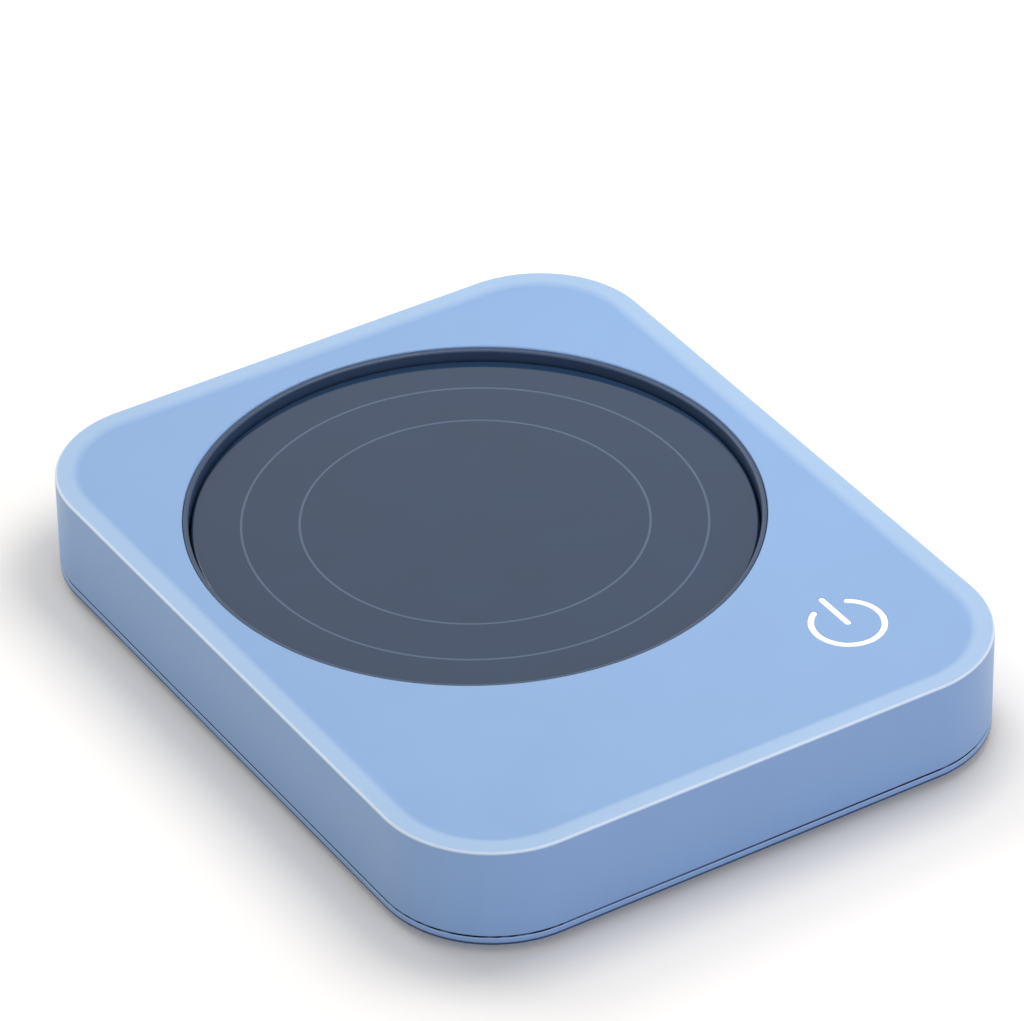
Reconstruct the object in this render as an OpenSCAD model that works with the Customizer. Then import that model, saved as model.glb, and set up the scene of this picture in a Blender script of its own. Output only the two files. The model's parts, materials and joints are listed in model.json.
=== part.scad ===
// Electric mug warmer: a flat casing with a round well, a heating plate that sinks on springs
// under a mug's weight, a weight switch, a touch key with a lit icon, and a DC inlet at the back.
// Millimetres. +Z is up, +X is the user's right and -Y is the front edge.
// The origin is on the table, under the middle of the casing.

/* [Casing] */
// Width from side to side
body_width = 104; // [102:1:124]
// Depth from front to back
body_depth = 130; // [128:1:156]
// Height from the cover's underside to the rim
body_height = 17.1; // [16.8:0.1:20]
// Radius of the upright corners
corner_radius = 18.6; // [17:0.1:22]
// Thickness of the side walls
wall = 2.2; // [1.6:0.1:2.5]
// Thickness of the top panel
panel = 2.2; // [1.8:0.1:2.5]
// Rounding of the rim's outer edge
edge_radius = 0.6; // [0.3:0.1:1]
// Width of the raised lip round the panel
lip_width = 2.6; // [2:0.1:3.5]
// Width of the slope from the lip down to the panel
lip_slope = 1.3; // [0.6:0.1:1.8]
// Height of the lip above the panel
lip_height = 0.4; // [0.2:0.1:0.6]

/* [Bottom cover] */
// Height of the cover's visible edge, up to the seam
seam_height = 1.8; // [1.2:0.1:2.4]
// Height of the shadow groove at the seam
seam_groove = 0.25; // [0.1:0.05:0.5]
// Thickness of the floor
cover_floor = 2; // [1.6:0.1:2.4]
// Thickness of the tongue that stands inside the walls
tongue = 1.2; // [0.8:0.1:1.5]
// Height of the tongue above the seam
tongue_height = 2; // [1:0.1:3]
// Number of vent slots
vent_count = 9; // [3:1:11]
// Length of a vent slot
vent_length = 24; // [12:1:30]
// Width of a vent slot
vent_width = 1.6; // [1:0.1:2.4]
// Distance from one vent slot to the next
vent_pitch = 4; // [3:0.1:4.5]
// Width of the bare panel for a label
label_width = 44; // [20:1:50]
// Depth of the bare panel for a label, front to back
label_depth = 22; // [10:1:26]

/* [Feet] */
// Radius of a rubber foot
foot_radius = 6; // [4:0.5:6.5]
// How far a foot stands out of the cover
foot_proud = 1.2; // [0.8:0.1:3]
// Depth of a foot's recess
foot_recess = 0.8; // [0.5:0.1:1]

/* [Screws] */
// Shank radius of the four cover screws
cover_screw = 1.1; // [0.9:0.05:1.3]
// Length of a cover screw's shank
cover_screw_length = 9; // [6:0.5:9.5]
// Shank radius of the small screws
small_screw = 0.85; // [0.7:0.05:1]
// Wall of a boss round its screw's head
boss_wall = 1.1; // [0.9:0.1:1.4]
// Height of the pads that the bosses stand on
boss_pad = 1.2; // [0.8:0.1:2]

/* [Mug well] */
// Distance from the well's edge to the sides of the casing
well_side_margin = 7; // [6.5:0.5:12]
// Distance from the well's edge to the back edge
well_back_margin = 8; // [7:0.5:12]
// Depth from the panel down to the heating plate
well_depth = 2; // [1.4:0.1:2.3]
// Thickness of the lining ring's wall
ring_wall = 0.8; // [0.6:0.1:1.2]
// Width of the ring's flange under the panel
ring_flange = 1.8; // [1:0.1:2]
// Thickness of the ring's flange
ring_flange_thickness = 1.4; // [1:0.1:1.5]
// Height of the bosses that the ring hangs from
ring_boss = 1.2; // [0.8:0.1:1.3]
// Radius of the circle of ring screws, beyond the well's edge
ring_screw_out = 5; // [4.5:0.1:6]

/* [Heated stack] */
// Thickness of the glass plate
glass_thickness = 1.6; // [1:0.1:1.8]
// Thickness of the aluminium spreader
spreader_thickness = 0.8; // [0.5:0.1:1]
// Thickness of the heating track
foil_thickness = 0.2; // [0.1:0.05:0.3]
// Thickness of the mica sheet
mica_thickness = 0.4; // [0.3:0.1:0.6]
// Thickness of the insulation pad
pad_thickness = 0.8; // [0.6:0.1:1]
// Thickness of the tray's floor
tray_floor = 1.2; // [0.9:0.1:1.4]
// Thickness of the tray's rim
tray_wall = 0.8; // [0.6:0.1:1.2]
// Gap round the glass plate
plate_gap = 0.4; // [0.3:0.05:0.8]
// How far the plate sinks under a mug
plate_travel = 0.8; // [0.4:0.1:0.9]
// Width of the heating track
track_width = 2; // [1:0.1:2.4]
// Distance from one turn of the track to the next
track_pitch = 5; // [4:0.5:6]

/* [Guides and springs] */
// Number of guide posts
post_count = 3; // [3:1:3]
// Distance of the posts from the well's centre
post_circle = 33; // [30:0.5:35]
// Radius of a guide post
post_radius = 1.5; // [1.2:0.1:2]
// Thickness of the sleeve that runs on a post
sleeve_wall = 1.3; // [1:0.1:1.6]
// Wire radius of a plate spring
spring_wire = 0.25; // [0.2:0.05:0.35]
// Turns of a plate spring
spring_turns = 4.5; // [3:0.5:6]

/* [Weight switch] */
// Length of the switch
switch_length = 12.8; // [12:0.1:14]
// Width of the switch
switch_width = 5.8; // [5:0.1:6.6]
// Room between the switch and the tray when the plate is down
switch_room = 0.4; // [0.2:0.1:0.8]
// Distance from the well's centre to the switch
switch_out = 34; // [32:0.5:35]
// Distance from the lever's pivot to the plunger
plunger_arm = 4; // [3.5:0.1:5]
// Distance from the lever's pivot to the tray's striker
striker_arm = 13; // [12.5:0.1:14]
// Radius of the plunger
plunger_radius = 0.75; // [0.5:0.05:0.9]
// Thickness of the lever
lever_thickness = 0.3; // [0.2:0.05:0.4]
// Width of the lever
lever_width = 4; // [3:0.1:4.2]

/* [Touch key] */
// Distance from the right edge to the icon
icon_from_side = 20.8; // [18:0.1:26]
// How far the icon is in front of the middle between the well and the front edge
icon_forward = 0.9; // [0:0.1:3]
// Outer radius of the icon's ring
icon_radius = 6.05; // [4:0.05:7]
// Width of the icon's lines
icon_stroke = 1; // [0.6:0.05:1.4]
// Length of the icon's bar, between the centres of its round ends
icon_bar = 6.9; // [5:0.1:8]
// Half of the angle over which the ring is open
icon_opening = 33; // [25:1:45]
// Thickness of the light guide's base
guide_base = 0.8; // [0.6:0.1:1.2]
// Radius of the touch spring
touch_radius = 3.4; // [2.6:0.1:4.5]
// Turns of the touch spring
touch_turns = 5; // [3:0.5:7]

/* [Board] */
// Thickness of the circuit board
board_thickness = 1.6; // [1:0.1:1.8]
// Height of the board's standoffs
board_standoff = 1.2; // [1:0.1:1.6]
// Radius of the filter capacitor
capacitor_radius = 4; // [3:0.1:5]
// Room between the filter capacitor and the panel
capacitor_room = 1.7; // [0.8:0.1:3]
// Radius of the buzzer
buzzer_radius = 4.5; // [4:0.1:5]
// Height of the buzzer
buzzer_height = 5; // [4:0.1:6]

/* [Power inlet] */
// Gap between the inlet's body and the tray
inlet_clear = 1; // [0.6:0.1:4]
// Width of the inlet's body
inlet_width = 9; // [8.6:0.1:9.6]
// Height of the inlet's body
inlet_height = 9.4; // [8.8:0.1:9.8]
// Length of the inlet's body behind the wall
inlet_length = 10.5; // [10:0.1:11]
// Radius of the inlet's nose in the wall
inlet_nose = 4; // [3.7:0.1:4.2]
// Radius of the hole that takes the plug
inlet_bore = 3; // [2.8:0.05:3.3]
// Depth of the hole that takes the plug
inlet_depth = 9.5; // [8:0.1:10]
// Radius of the centre pin
inlet_pin_radius = 1; // [0.8:0.05:1.2]

/* [Wiring] */
// Radius of a power lead
power_lead = 0.8; // [0.5:0.05:0.9]
// Radius of a signal lead
signal_lead = 0.5; // [0.3:0.05:0.6]

/* [Hidden] */
$fn = 96;

BODY_BLUE = [0.55, 0.68, 0.86];
SLATE = [0.16, 0.19, 0.23];
STEEL = [0.75, 0.76, 0.78];
COPPER = [0.78, 0.5, 0.32];
BOARD_GREEN = [0.1, 0.35, 0.2];

// How far a piece is let into another so that they join, or a cut runs past a face
bite = 0.5;
// Small steps in the rounded profiles
edge_steps = 5;
// Clearance of the ring in the panel, and of the other pieces that are fitted by hand
fit_gap = 0.1;
// Clearance between neighbours that must not touch
safe_gap = 0.3;
// Running clearance of the sleeves, the lever and the plunger
running_gap = 0.07;
// Clearance of the icon in the panel
icon_gap = 0.05;
// Side clearance of the tongue in the walls
tongue_gap = 0.15;

// Heights of the casing, from the table up
cover_bottom = foot_proud;
cover_top = cover_bottom + cover_floor;
seam_z = cover_bottom + seam_height;
tongue_top = max(seam_z, cover_top) + tongue_height;
rim_z = cover_bottom + body_height;
panel_top = rim_z - lip_height;
panel_under = panel_top - panel;

// Heights of the heated stack, from the glass down
plate_top = panel_top - well_depth;
glass_z = plate_top - glass_thickness;
spreader_z = glass_z - spreader_thickness;
foil_z = spreader_z - foil_thickness;
mica_z = foil_z - mica_thickness;
pad_z = mica_z - pad_thickness;
tray_z = pad_z - tray_floor;

// Place of the well, and the radii of what stands in it
well_radius = body_width / 2 - well_side_margin;
well_y = body_depth / 2 - well_back_margin - well_radius;
ring_outer = well_radius - fit_gap;
ring_inner = ring_outer - ring_wall;
plate_radius = ring_inner - plate_gap;
tray_outer = plate_radius - 2 * fit_gap;
tray_inner = tray_outer - tray_wall;
stack_radius = tray_inner - safe_gap;
stop_overlap = 0.6;
tray_flange = well_radius + stop_overlap;
ring_seat = panel_under - ring_boss;
ring_flange_z = ring_seat - ring_flange_thickness;
ring_ear = 3;
ring_neck = 4.8;
ring_screw_circle = well_radius + ring_screw_out;
ring_screw_count = 4;
well_chamfer = 0.3;
glass_chamfer = 0.4;

// Corner bosses, screws and feet
corner_x = body_width / 2 - corner_radius;
corner_y = body_depth / 2 - corner_radius;
head_ratio = 2;
hole_play = 0.3;
cover_head = cover_screw * head_ratio;
cover_boss = cover_head + hole_play + boss_wall;
pad_top = cover_top + boss_pad;
boss_inset = wall + tongue_gap + tongue + cover_boss + safe_gap;
boss_out = (corner_radius - boss_inset) * cos(45);
cover_head_height = 1.5;
head_sunk = 0.2;
head_seat = cover_bottom + head_sunk + cover_head_height;
small_head = small_screw * head_ratio;
small_head_height = 1.1;
thread_play = 0.02;
cover_bore_depth = cover_screw_length - (pad_top - head_seat) + bite;
corner_rib = 1.2;

// Bare panel for a label, under the floor
label_recess = 0.3;
label_from_front = 30;

// Circuit board
board_inset = wall + tongue_gap + tongue + bite;
board_z = cover_top + board_standoff;
board_top = board_z + board_thickness;
board_front = -body_depth / 2 + board_inset;
board_before_well = 34;
board_back = well_y - board_before_well;
board_clear = 4.5;
board_cut = well_radius + board_clear;
standoff_radius = 2.4;
screw_from_edge = 4.4;
screw_from_back = 8;
screw_in_floor = 0.9;
board_screw_x = body_width / 2 - board_inset - screw_from_edge;
board_screws_at = [
    [-board_screw_x, board_back - screw_from_back], [board_screw_x, board_back - screw_from_back],
    [0, board_front + screw_from_edge]
];
board_screw_length = board_thickness + board_standoff + screw_in_floor;
part_gap = 0.5;
row_y = board_front + 7;
connector_depth = 5.5;
connector_height = 5;
heater_connector_width = 7;
signal_connector_width = 9;
capacitor_from_side = 16;
capacitor_from_front = 14;
capacitor_height = panel_under - capacitor_room - board_top;
capacitor_at = [capacitor_from_side - body_width / 2, board_front + capacitor_from_front];
buzzer_at = [capacitor_at[0] + capacitor_radius + part_gap + buzzer_radius, row_y];
heater_connector_at = [-13, row_y];
transistor_at = [-5.5, board_front + 6.2];
chip_at = [7.3, row_y];
signal_connector_at = [17.5, row_y];

// Guide posts
post_top = tray_z + tray_floor / 2 - plate_travel - safe_gap;
sleeve_bore = post_radius + running_gap;
sleeve_radius = sleeve_bore + sleeve_wall;
sleeve_bottom = cover_top + plate_travel;
spring_radius = sleeve_radius + safe_gap + spring_wire;

// Screws that hold the tray to the spreader
hub_count = 3;
hub_circle = 20;
hub_wall = 0.9;
hub_radius = small_screw + hub_wall;
hub_bottom = pad_z + safe_gap;

// Sensors and lead holes in the heated stack, around the well's centre
lead_angle = 235;
lead_circle = 34;
lead_hole = 2.6;
lead_pair = 1.25;
bead_at = [8, 0];
bead_radius = 1;
bead_hole = 1.7;
fuse_at = [-14, -10];
fuse_radius = 1.2;
fuse_length = 8;
fuse_wire = 0.3;
fuse_wire_length = 3;

// Weight switch, with its lever pivot at the left
switch_y = well_y - switch_out;
pivot_in = 0.8;
pivot_rise = 0.8;
pin_radius = 0.35;
ear_rise = pivot_rise + 2 * pin_radius;
switch_height = tray_z - plate_travel - switch_room - ear_rise - cover_top;
switch_top = cover_top + switch_height;
ear_top = switch_top + ear_rise;
pivot_x = -switch_length / 2 + pivot_in;
pivot_z = switch_top + pivot_rise;
barrel_bore = pin_radius + running_gap;
barrel_wall = 0.25;
barrel_radius = barrel_bore + barrel_wall;
barrel_proud = 0.05;
striker_radius = 1.2;
lever_z = pivot_z + barrel_radius - lever_thickness - barrel_proud;
lever_top = lever_z + lever_thickness;
lever_length = striker_arm + striker_radius;
lever_play = 0.1;
plunger_x = pivot_x + plunger_arm;
plunger_sunk = 0.8;
plunger_top = lever_z - fit_gap;
plunger_bottom = switch_top - plunger_sunk;
plunger_well = plunger_bottom - bite;
striker_x = pivot_x + striker_arm;
striker_gap = 0.15;
striker_z = lever_top + striker_gap;
ear_thickness = 0.8;
ear_reach = 0.8;
mount_pitch = 6.5;
mount_pin = 1;
mount_height = 1.75;
mount_proud = 0.6;
switch_rib = 1.6;
switch_rib_height = 0.9 * switch_height;
terminal = [1.2, 2, 0.4];
terminal_height = 1;
terminal_x = 4.9;

// Touch key
icon_x = body_width / 2 - icon_from_side;
icon_y = (well_y - sqrt(pow(well_radius, 2) - pow(icon_x, 2)) - body_depth / 2) / 2 - icon_forward;
guide_wall = 0.9;
guide_radius = icon_radius + guide_wall;
guide_z = panel_under - guide_base;
touch_wire = 0.25;

// Power inlet
inlet_seat = 0.4;
inlet_z = cover_top + inlet_seat + inlet_height / 2;
back_face = body_depth / 2;
back_inside = back_face - wall;
inlet_back = back_inside - safe_gap - inlet_length;
inlet_x = inlet_width / 2
    + sqrt(pow(tray_flange + inlet_clear, 2) - pow(inlet_back - well_y, 2));
bore_end = back_face - inlet_depth;
pin_recess = 1;
pin_root = 1.3;
cradle_wall = 1;
cradle_height = 4;
contact_size = [0.3, 7, 2.4];
contact_reach = 0.2;

// Side profiles: [distance in from the outline, height], from the bottom up
cover_chamfer = 0.4;
groove_depth = 0.6;
housing_profile = concat(
    [[0, seam_z]],
    [for (i = [0 : edge_steps]) let (a = 90 * i / edge_steps)
        [edge_radius * (1 - cos(a)), rim_z - edge_radius * (1 - sin(a))]]
);
recess_profile = concat(
    [for (i = [0 : edge_steps]) let (t = i / edge_steps)
        [lip_width + lip_slope * (1 - t), panel_top + lip_height * t * t * (3 - 2 * t)]],
    [[lip_width, rim_z + bite]]
);
cover_profile = [
    [cover_chamfer, cover_bottom], [0, cover_bottom + cover_chamfer], [0, seam_z - seam_groove]
];

// ---- Shapes that repeat ----

// A rectangle with round corners, centred
module rounded_area(width, depth, radius) {
    square([width - 2 * radius, depth], center = true);
    square([width, depth - 2 * radius], center = true);
    for (x = [-1, 1], y = [-1, 1])
        translate([x * (width / 2 - radius), y * (depth / 2 - radius)]) circle(radius);
}

// The casing's outline, moved in by inset, from one height to another
module inset_prism(inset, from_z, to_z) {
    translate([0, 0, from_z])
        linear_extrude(to_z - from_z)
            rounded_area(body_width - 2 * inset, body_depth - 2 * inset, corner_radius - inset);
}

// The casing's outline with a side profile: two crossing prisms and four turned corners
module profiled_block(profile) {
    first_z = profile[0][1];
    last_z = profile[len(profile) - 1][1];
    module section(half) {
        polygon(concat(
            [for (p = profile) [half - p[0], p[1]]],
            [for (i = [len(profile) - 1 : -1 : 0]) [-(half - profile[i][0]), profile[i][1]]]
        ));
    }
    rotate([90, 0, 90])
        linear_extrude(2 * corner_x, center = true) section(body_depth / 2);
    rotate([90, 0, 0])
        linear_extrude(2 * corner_y, center = true) section(body_width / 2);
    for (turn = [0 : 3]) {
        side = [[1, 1], [-1, 1], [-1, -1], [1, -1]][turn];
        translate([side[0] * corner_x, side[1] * corner_y, 0])
            rotate([0, 0, 90 * turn])
                rotate_extrude(angle = 90)
                    polygon(concat(
                        [[0, first_z]],
                        [for (p = profile) [corner_radius - p[0], p[1]]],
                        [[0, last_z]]
                    ));
    }
}

// A cylinder from one height to another
module post(radius, from_z, to_z) {
    translate([0, 0, from_z]) cylinder(r = radius, h = to_z - from_z);
}

// A box centred on its place in X and Y, standing on from_z
module block(size, from_z) {
    translate([-size[0] / 2, -size[1] / 2, from_z]) cube(size);
}

module at_corners(x, y) {
    for (sx = [-1, 1], sy = [-1, 1]) translate([sx * x, sy * y, 0]) children();
}

module at_well() {
    translate([0, well_y, 0]) children();
}

// Children repeated on a circle round the well's centre
module round_well(count, radius, start) {
    at_well() for (i = [0 : count - 1])
        rotate([0, 0, start + 360 * i / count]) translate([radius, 0, 0]) children();
}

module at_posts() {
    round_well(post_count, post_circle, 90) children();
}

module at_hubs() {
    round_well(hub_count, hub_circle, 30) children();
}

module at_ring_screws() {
    round_well(ring_screw_count, ring_screw_circle, 45) children();
}

module at_lead_hole() {
    at_well() rotate([0, 0, lead_angle]) translate([lead_circle, 0, 0]) children();
}

module at_icon() {
    translate([icon_x, icon_y, 0]) children();
}

// A pan-head screw whose head's inner face is at z = 0 and whose shank points up
module screw(shank, length, head, head_height) {
    slot = [1.1 * head, head / 4, head_height / 2];
    difference() {
        union() {
            post(shank, -bite, length - shank);
            translate([0, 0, length - shank]) cylinder(r1 = shank, r2 = shank / 2, h = shank);
            post(head, -head_height, 0);
        }
        translate([0, 0, -head_height])
            for (turn = [0, 90]) rotate([0, 0, turn]) block(slot + [0, 0, bite], -bite);
    }
}

// A Catmull-Rom curve through the points, with steps pieces between two of them
function on_curve(a, b, c, d, t) =
    0.5 * (2 * b + (c - a) * t + (2 * a - 5 * b + 4 * c - d) * t * t
        + (3 * b - a - 3 * c + d) * t * t * t);
function smooth(points, steps) = let (n = len(points) - 1) concat(
    [for (i = [0 : n - 1], k = [0 : steps - 1])
        on_curve(points[max(i - 1, 0)], points[i], points[i + 1], points[min(i + 2, n)], k / steps)],
    [points[n]]
);
function unit(v) = v / norm(v);
// The part of side that is square to the direction
function square_to(side, along) = unit(side - along * (side * along));
// One side direction for each point, each turned as little as possible from the last
function side_directions(along) = [
    for (
        i = 0, side = square_to(abs(along[0][2]) < 0.9 ? [0, 0, 1] : [1, 0, 0], along[0]);
        i < len(along);
        i = i + 1, side = i < len(along) ? square_to(side, along[i]) : side
    ) side
];

// A round tube along a list of points
module tube(points, radius, sides = 8) {
    n = len(points);
    along = [for (i = [0 : n - 1]) unit(points[min(i + 1, n - 1)] - points[max(i - 1, 0)])];
    side = side_directions(along);
    rings = [for (i = [0 : n - 1], k = [0 : sides - 1]) let (a = 360 * k / sides)
        points[i] + radius * (cos(a) * side[i] + sin(a) * cross(along[i], side[i]))];
    polyhedron(
        points = rings,
        faces = concat(
            [[for (k = [0 : sides - 1]) k]],
            [for (i = [0 : n - 2], k = [0 : sides - 1]) let (j = (k + 1) % sides)
                [i * sides + j, i * sides + k, (i + 1) * sides + k, (i + 1) * sides + j]],
            [[for (k = [0 : sides - 1]) (n - 1) * sides + sides - 1 - k]]
        )
    );
}

// A coil spring from one height to another, with a flat turn at each end
module coil(radius, wire, turns, from_z, to_z) {
    steps = 16;
    count = round(turns * steps);
    low = from_z + wire + icon_gap;
    high = to_z - wire - icon_gap;
    flat = 0.75;
    tube([for (i = [0 : count]) let (
        turn = turns * i / count,
        rise = min(max((turn - flat) / (turns - 2 * flat), 0), 1)
    ) [radius * cos(360 * turn), radius * sin(360 * turn), low + (high - low) * rise]], wire, 8);
}

// ---- Casing ----

// The icon's ring and bar, each line widened by grow on both sides
module icon_area(grow) {
    line = icon_stroke / 2 + grow;
    middle = icon_radius - icon_stroke / 2;
    far = 2 * icon_radius;
    difference() {
        circle(middle + line);
        circle(middle - line);
        polygon([
            [0, 0], far * [-sin(icon_opening), cos(icon_opening)], [0, far],
            far * [sin(icon_opening), cos(icon_opening)]
        ]);
    }
    for (s = [-1, 1])
        translate(middle * [s * sin(icon_opening), cos(icon_opening)]) circle(line);
    translate([-line, 0]) square([2 * line, icon_bar]);
    for (y = [0, icon_bar]) translate([0, y]) circle(line);
}

module top_housing() color(BODY_BLUE) difference() {
    union() {
        difference() {
            profiled_block(housing_profile);
            inset_prism(wall, seam_z - bite, panel_under);
            profiled_block(recess_profile);
        }
        at_corners(corner_x + boss_out, corner_y + boss_out)
            post(cover_boss, pad_top, panel_under + bite);
        for (turn = [0 : 3]) {
            side = [[1, 1], [-1, 1], [-1, -1], [1, -1]][turn];
            translate([side[0] * (corner_x + boss_out), side[1] * (corner_y + boss_out), 0])
                rotate([0, 0, 45 + 90 * turn])
                    translate([0, -corner_rib / 2, tongue_top + safe_gap])
                        cube([boss_inset - bite, corner_rib, panel_under + bite - tongue_top - safe_gap]);
        }
        at_ring_screws() post(ring_ear, ring_seat, panel_under + bite);
    }
    at_well() {
        post(well_radius, panel_under - bite, rim_z);
        translate([0, 0, panel_top - well_chamfer])
            cylinder(r1 = well_radius, r2 = well_radius + 2 * well_chamfer, h = 2 * well_chamfer);
    }
    at_icon() translate([0, 0, panel_under - bite])
        linear_extrude(panel + 2 * bite) icon_area(icon_gap);
    at_corners(corner_x + boss_out, corner_y + boss_out)
        post(cover_screw + thread_play, pad_top - bite, pad_top + cover_bore_depth);
    at_ring_screws() post(small_screw + thread_play, ring_seat - bite, panel_under + panel / 3);
    translate([inlet_x, back_inside - bite, inlet_z])
        rotate([-90, 0, 0]) cylinder(r = inlet_nose + fit_gap, h = wall + 2 * bite);
}

// The place of the inlet, as a box with some room round it
module inlet_room(room, from_z, to_z) {
    translate([inlet_x - inlet_width / 2 - room, inlet_back - room, from_z])
        cube([inlet_width + 2 * room, inlet_length + wall + room, to_z - from_z]);
}

module bottom_cover() color(BODY_BLUE) difference() {
    union() {
        difference() {
            union() {
                profiled_block(cover_profile);
                inset_prism(groove_depth, cover_bottom + bite, seam_z);
                inset_prism(wall + tongue_gap, cover_bottom + bite, tongue_top);
            }
            inset_prism(wall + tongue_gap + tongue, cover_top, tongue_top + bite);
            inlet_room(cradle_wall, cover_top, tongue_top + bite);
        }
        at_corners(corner_x + boss_out, corner_y + boss_out)
            post(cover_boss, cover_top - bite, pad_top);
        for (at = board_screws_at) translate(at) post(standoff_radius, cover_top - bite, board_z);
        at_posts() post(post_radius, cover_top - bite, post_top);
        translate([0, switch_y + switch_width / 2 + fit_gap + switch_rib / 2, 0])
            block([switch_length, switch_rib, switch_rib_height + bite], cover_top - bite);
        for (x = [-1, 1])
            translate([x * mount_pitch / 2, switch_y + switch_width / 2 + switch_rib,
                       cover_top + mount_height])
                rotate([90, 0, 0]) cylinder(r = mount_pin, h = switch_width + switch_rib + mount_proud);
        for (x = [-1, 1])
            translate([inlet_x + x * (inlet_width / 2 + fit_gap + cradle_wall / 2),
                       inlet_back + inlet_length / 2, 0])
                block([cradle_wall, inlet_length / 2, cradle_height + bite], cover_top - bite);
        translate([inlet_x, inlet_back + inlet_length / 2, 0])
            block([inlet_width, inlet_length - 2 * wall, inlet_seat + bite], cover_top - bite);
    }
    at_corners(corner_x, corner_y)
        post(foot_radius + fit_gap, cover_bottom - bite, cover_bottom + foot_recess);
    at_corners(corner_x + boss_out, corner_y + boss_out) {
        post(cover_head + hole_play, cover_bottom - bite, head_seat);
        post(cover_screw + hole_play, cover_bottom, pad_top + bite);
    }
    for (at = board_screws_at)
        translate(at) post(small_screw + thread_play, board_top - board_screw_length - fit_gap, board_top);
    for (i = [0 : vent_count - 1])
        translate([(i - (vent_count - 1) / 2) * vent_pitch, well_y, 0]) vent_slot();
    translate([0, label_from_front - body_depth / 2, 0])
        block([label_width, label_depth, bite + label_recess], cover_bottom - bite);
}

// A slot with round ends, through the floor
module vent_slot() {
    straight = vent_length - vent_width;
    block([vent_width, straight, cover_floor + 2 * bite], cover_bottom - bite);
    for (y = [-1, 1])
        translate([0, y * straight / 2, 0]) post(vent_width / 2, cover_bottom - bite, cover_top + bite);
}

module well_ring() color(SLATE) difference() {
    union() {
        at_well() rotate_extrude() polygon([
            [ring_inner, pad_z], [ring_outer, pad_z], [ring_outer, ring_flange_z],
            [well_radius + ring_flange, ring_flange_z], [well_radius + ring_flange, ring_seat],
            [ring_outer, ring_seat], [ring_outer, panel_top - well_chamfer],
            [ring_inner + ring_wall / 2, panel_top - well_chamfer],
            [ring_inner, panel_top - well_chamfer - ring_wall / 2]
        ]);
        at_ring_screws() {
            post(ring_ear, ring_flange_z, ring_seat);
            translate([-ring_screw_out / 2, 0, 0])
                block([ring_screw_out, ring_neck, ring_flange_thickness], ring_flange_z);
        }
    }
    at_ring_screws() post(small_screw + hole_play, ring_flange_z - bite, ring_seat + bite);
}

module icon_lightguide() color("white") at_icon() {
    post(guide_radius, guide_z, panel_under);
    translate([0, 0, panel_under - guide_base / 2])
        linear_extrude(panel + guide_base / 2) icon_area(0);
}

module rubber_feet() color([0.2, 0.21, 0.22]) at_corners(corner_x, corner_y)
    rotate_extrude() polygon([
        [0, 0], [foot_radius - cover_chamfer, 0], [foot_radius, cover_chamfer],
        [foot_radius, cover_bottom + foot_recess], [0, cover_bottom + foot_recess]
    ]);

module cover_screws() color(STEEL) at_corners(corner_x + boss_out, corner_y + boss_out)
    translate([0, 0, head_seat])
        screw(cover_screw, cover_screw_length, cover_head, cover_head_height);

module ring_screws() color(STEEL) at_ring_screws() translate([0, 0, ring_flange_z])
    screw(small_screw, ring_flange_thickness + ring_boss + panel / 4, small_head, small_head_height);

// ---- Heated stack: everything that sinks under a mug ----

module heating_plate() color([0.09, 0.1, 0.12]) at_well() rotate_extrude() polygon([
    [0, glass_z], [plate_radius, glass_z], [plate_radius, plate_top - glass_chamfer],
    [plate_radius - glass_chamfer, plate_top], [0, plate_top]
]);

module spreader_plate() color([0.8, 0.81, 0.83]) difference() {
    union() {
        at_well() post(stack_radius, spreader_z, glass_z);
        at_hubs() post(hub_radius, hub_bottom, spreader_z + spreader_thickness / 2);
    }
    at_hubs() post(small_screw + thread_play, hub_bottom - bite, spreader_z + spreader_thickness / 2);
}

// The heating track: rings joined in series across a slot, with two tabs over the lead hole
track_slot = 4;
tab_length = 3;
tracks = [for (r = [2 * track_pitch : track_pitch : stack_radius - track_width])
    if (abs(r - hub_circle) > hub_radius + track_width) r];
function slot_x(radius) = sqrt(radius * radius - pow(track_slot + track_width / 2, 2));

module track_area() {
    last = len(tracks) - 1;
    for (r = tracks) difference() {
        circle(r + track_width / 2);
        circle(r - track_width / 2);
        translate([0, -track_slot]) square([2 * r, 2 * track_slot]);
    }
    for (i = [1 : last]) {
        side = (last - i) % 2 == 0 ? -1 : 1;
        low = slot_x(tracks[i - 1]);
        translate([low, side * (track_slot + track_width / 2) - track_width / 2])
            square([slot_x(tracks[i]) - low, track_width]);
    }
    tab_end = lead_circle + tab_length / 2;
    tab_line = track_width * 0.6;
    translate([slot_x(tracks[0]) - track_width / 2, -lead_pair - tab_line / 2]) {
        square([tab_end - slot_x(tracks[0]) + track_width / 2, tab_line]);
        square([track_width, track_slot + track_width / 2 + lead_pair + tab_line / 2]);
    }
    translate([lead_circle - tab_length / 2, lead_pair - tab_line / 2])
        square([tracks[last] - lead_circle + tab_length / 2, tab_line]);
    translate([slot_x(tracks[last]), lead_pair - tab_line / 2])
        square([track_width / 2, track_slot + track_width / 2 - lead_pair + tab_line / 2]);
}

module heater_foil() color(COPPER) at_well() rotate([0, 0, lead_angle])
    translate([0, 0, foil_z]) linear_extrude(foil_thickness) track_area();

// Holes that the tray's screws, the leads and the sensors need in the layers under the foil
module stack_holes(from_z, to_z, bead) {
    at_hubs() post(hub_radius + hole_play, from_z, to_z);
    at_lead_hole() post(lead_hole, from_z, to_z);
    if (bead) {
        at_well() translate(bead_at) post(bead_hole, from_z, to_z);
        at_well() translate(fuse_at)
            block([2 * (fuse_radius + hole_play), fuse_length + 2 * fuse_wire_length + 1,
                   to_z - from_z], from_z);
    }
}

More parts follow.
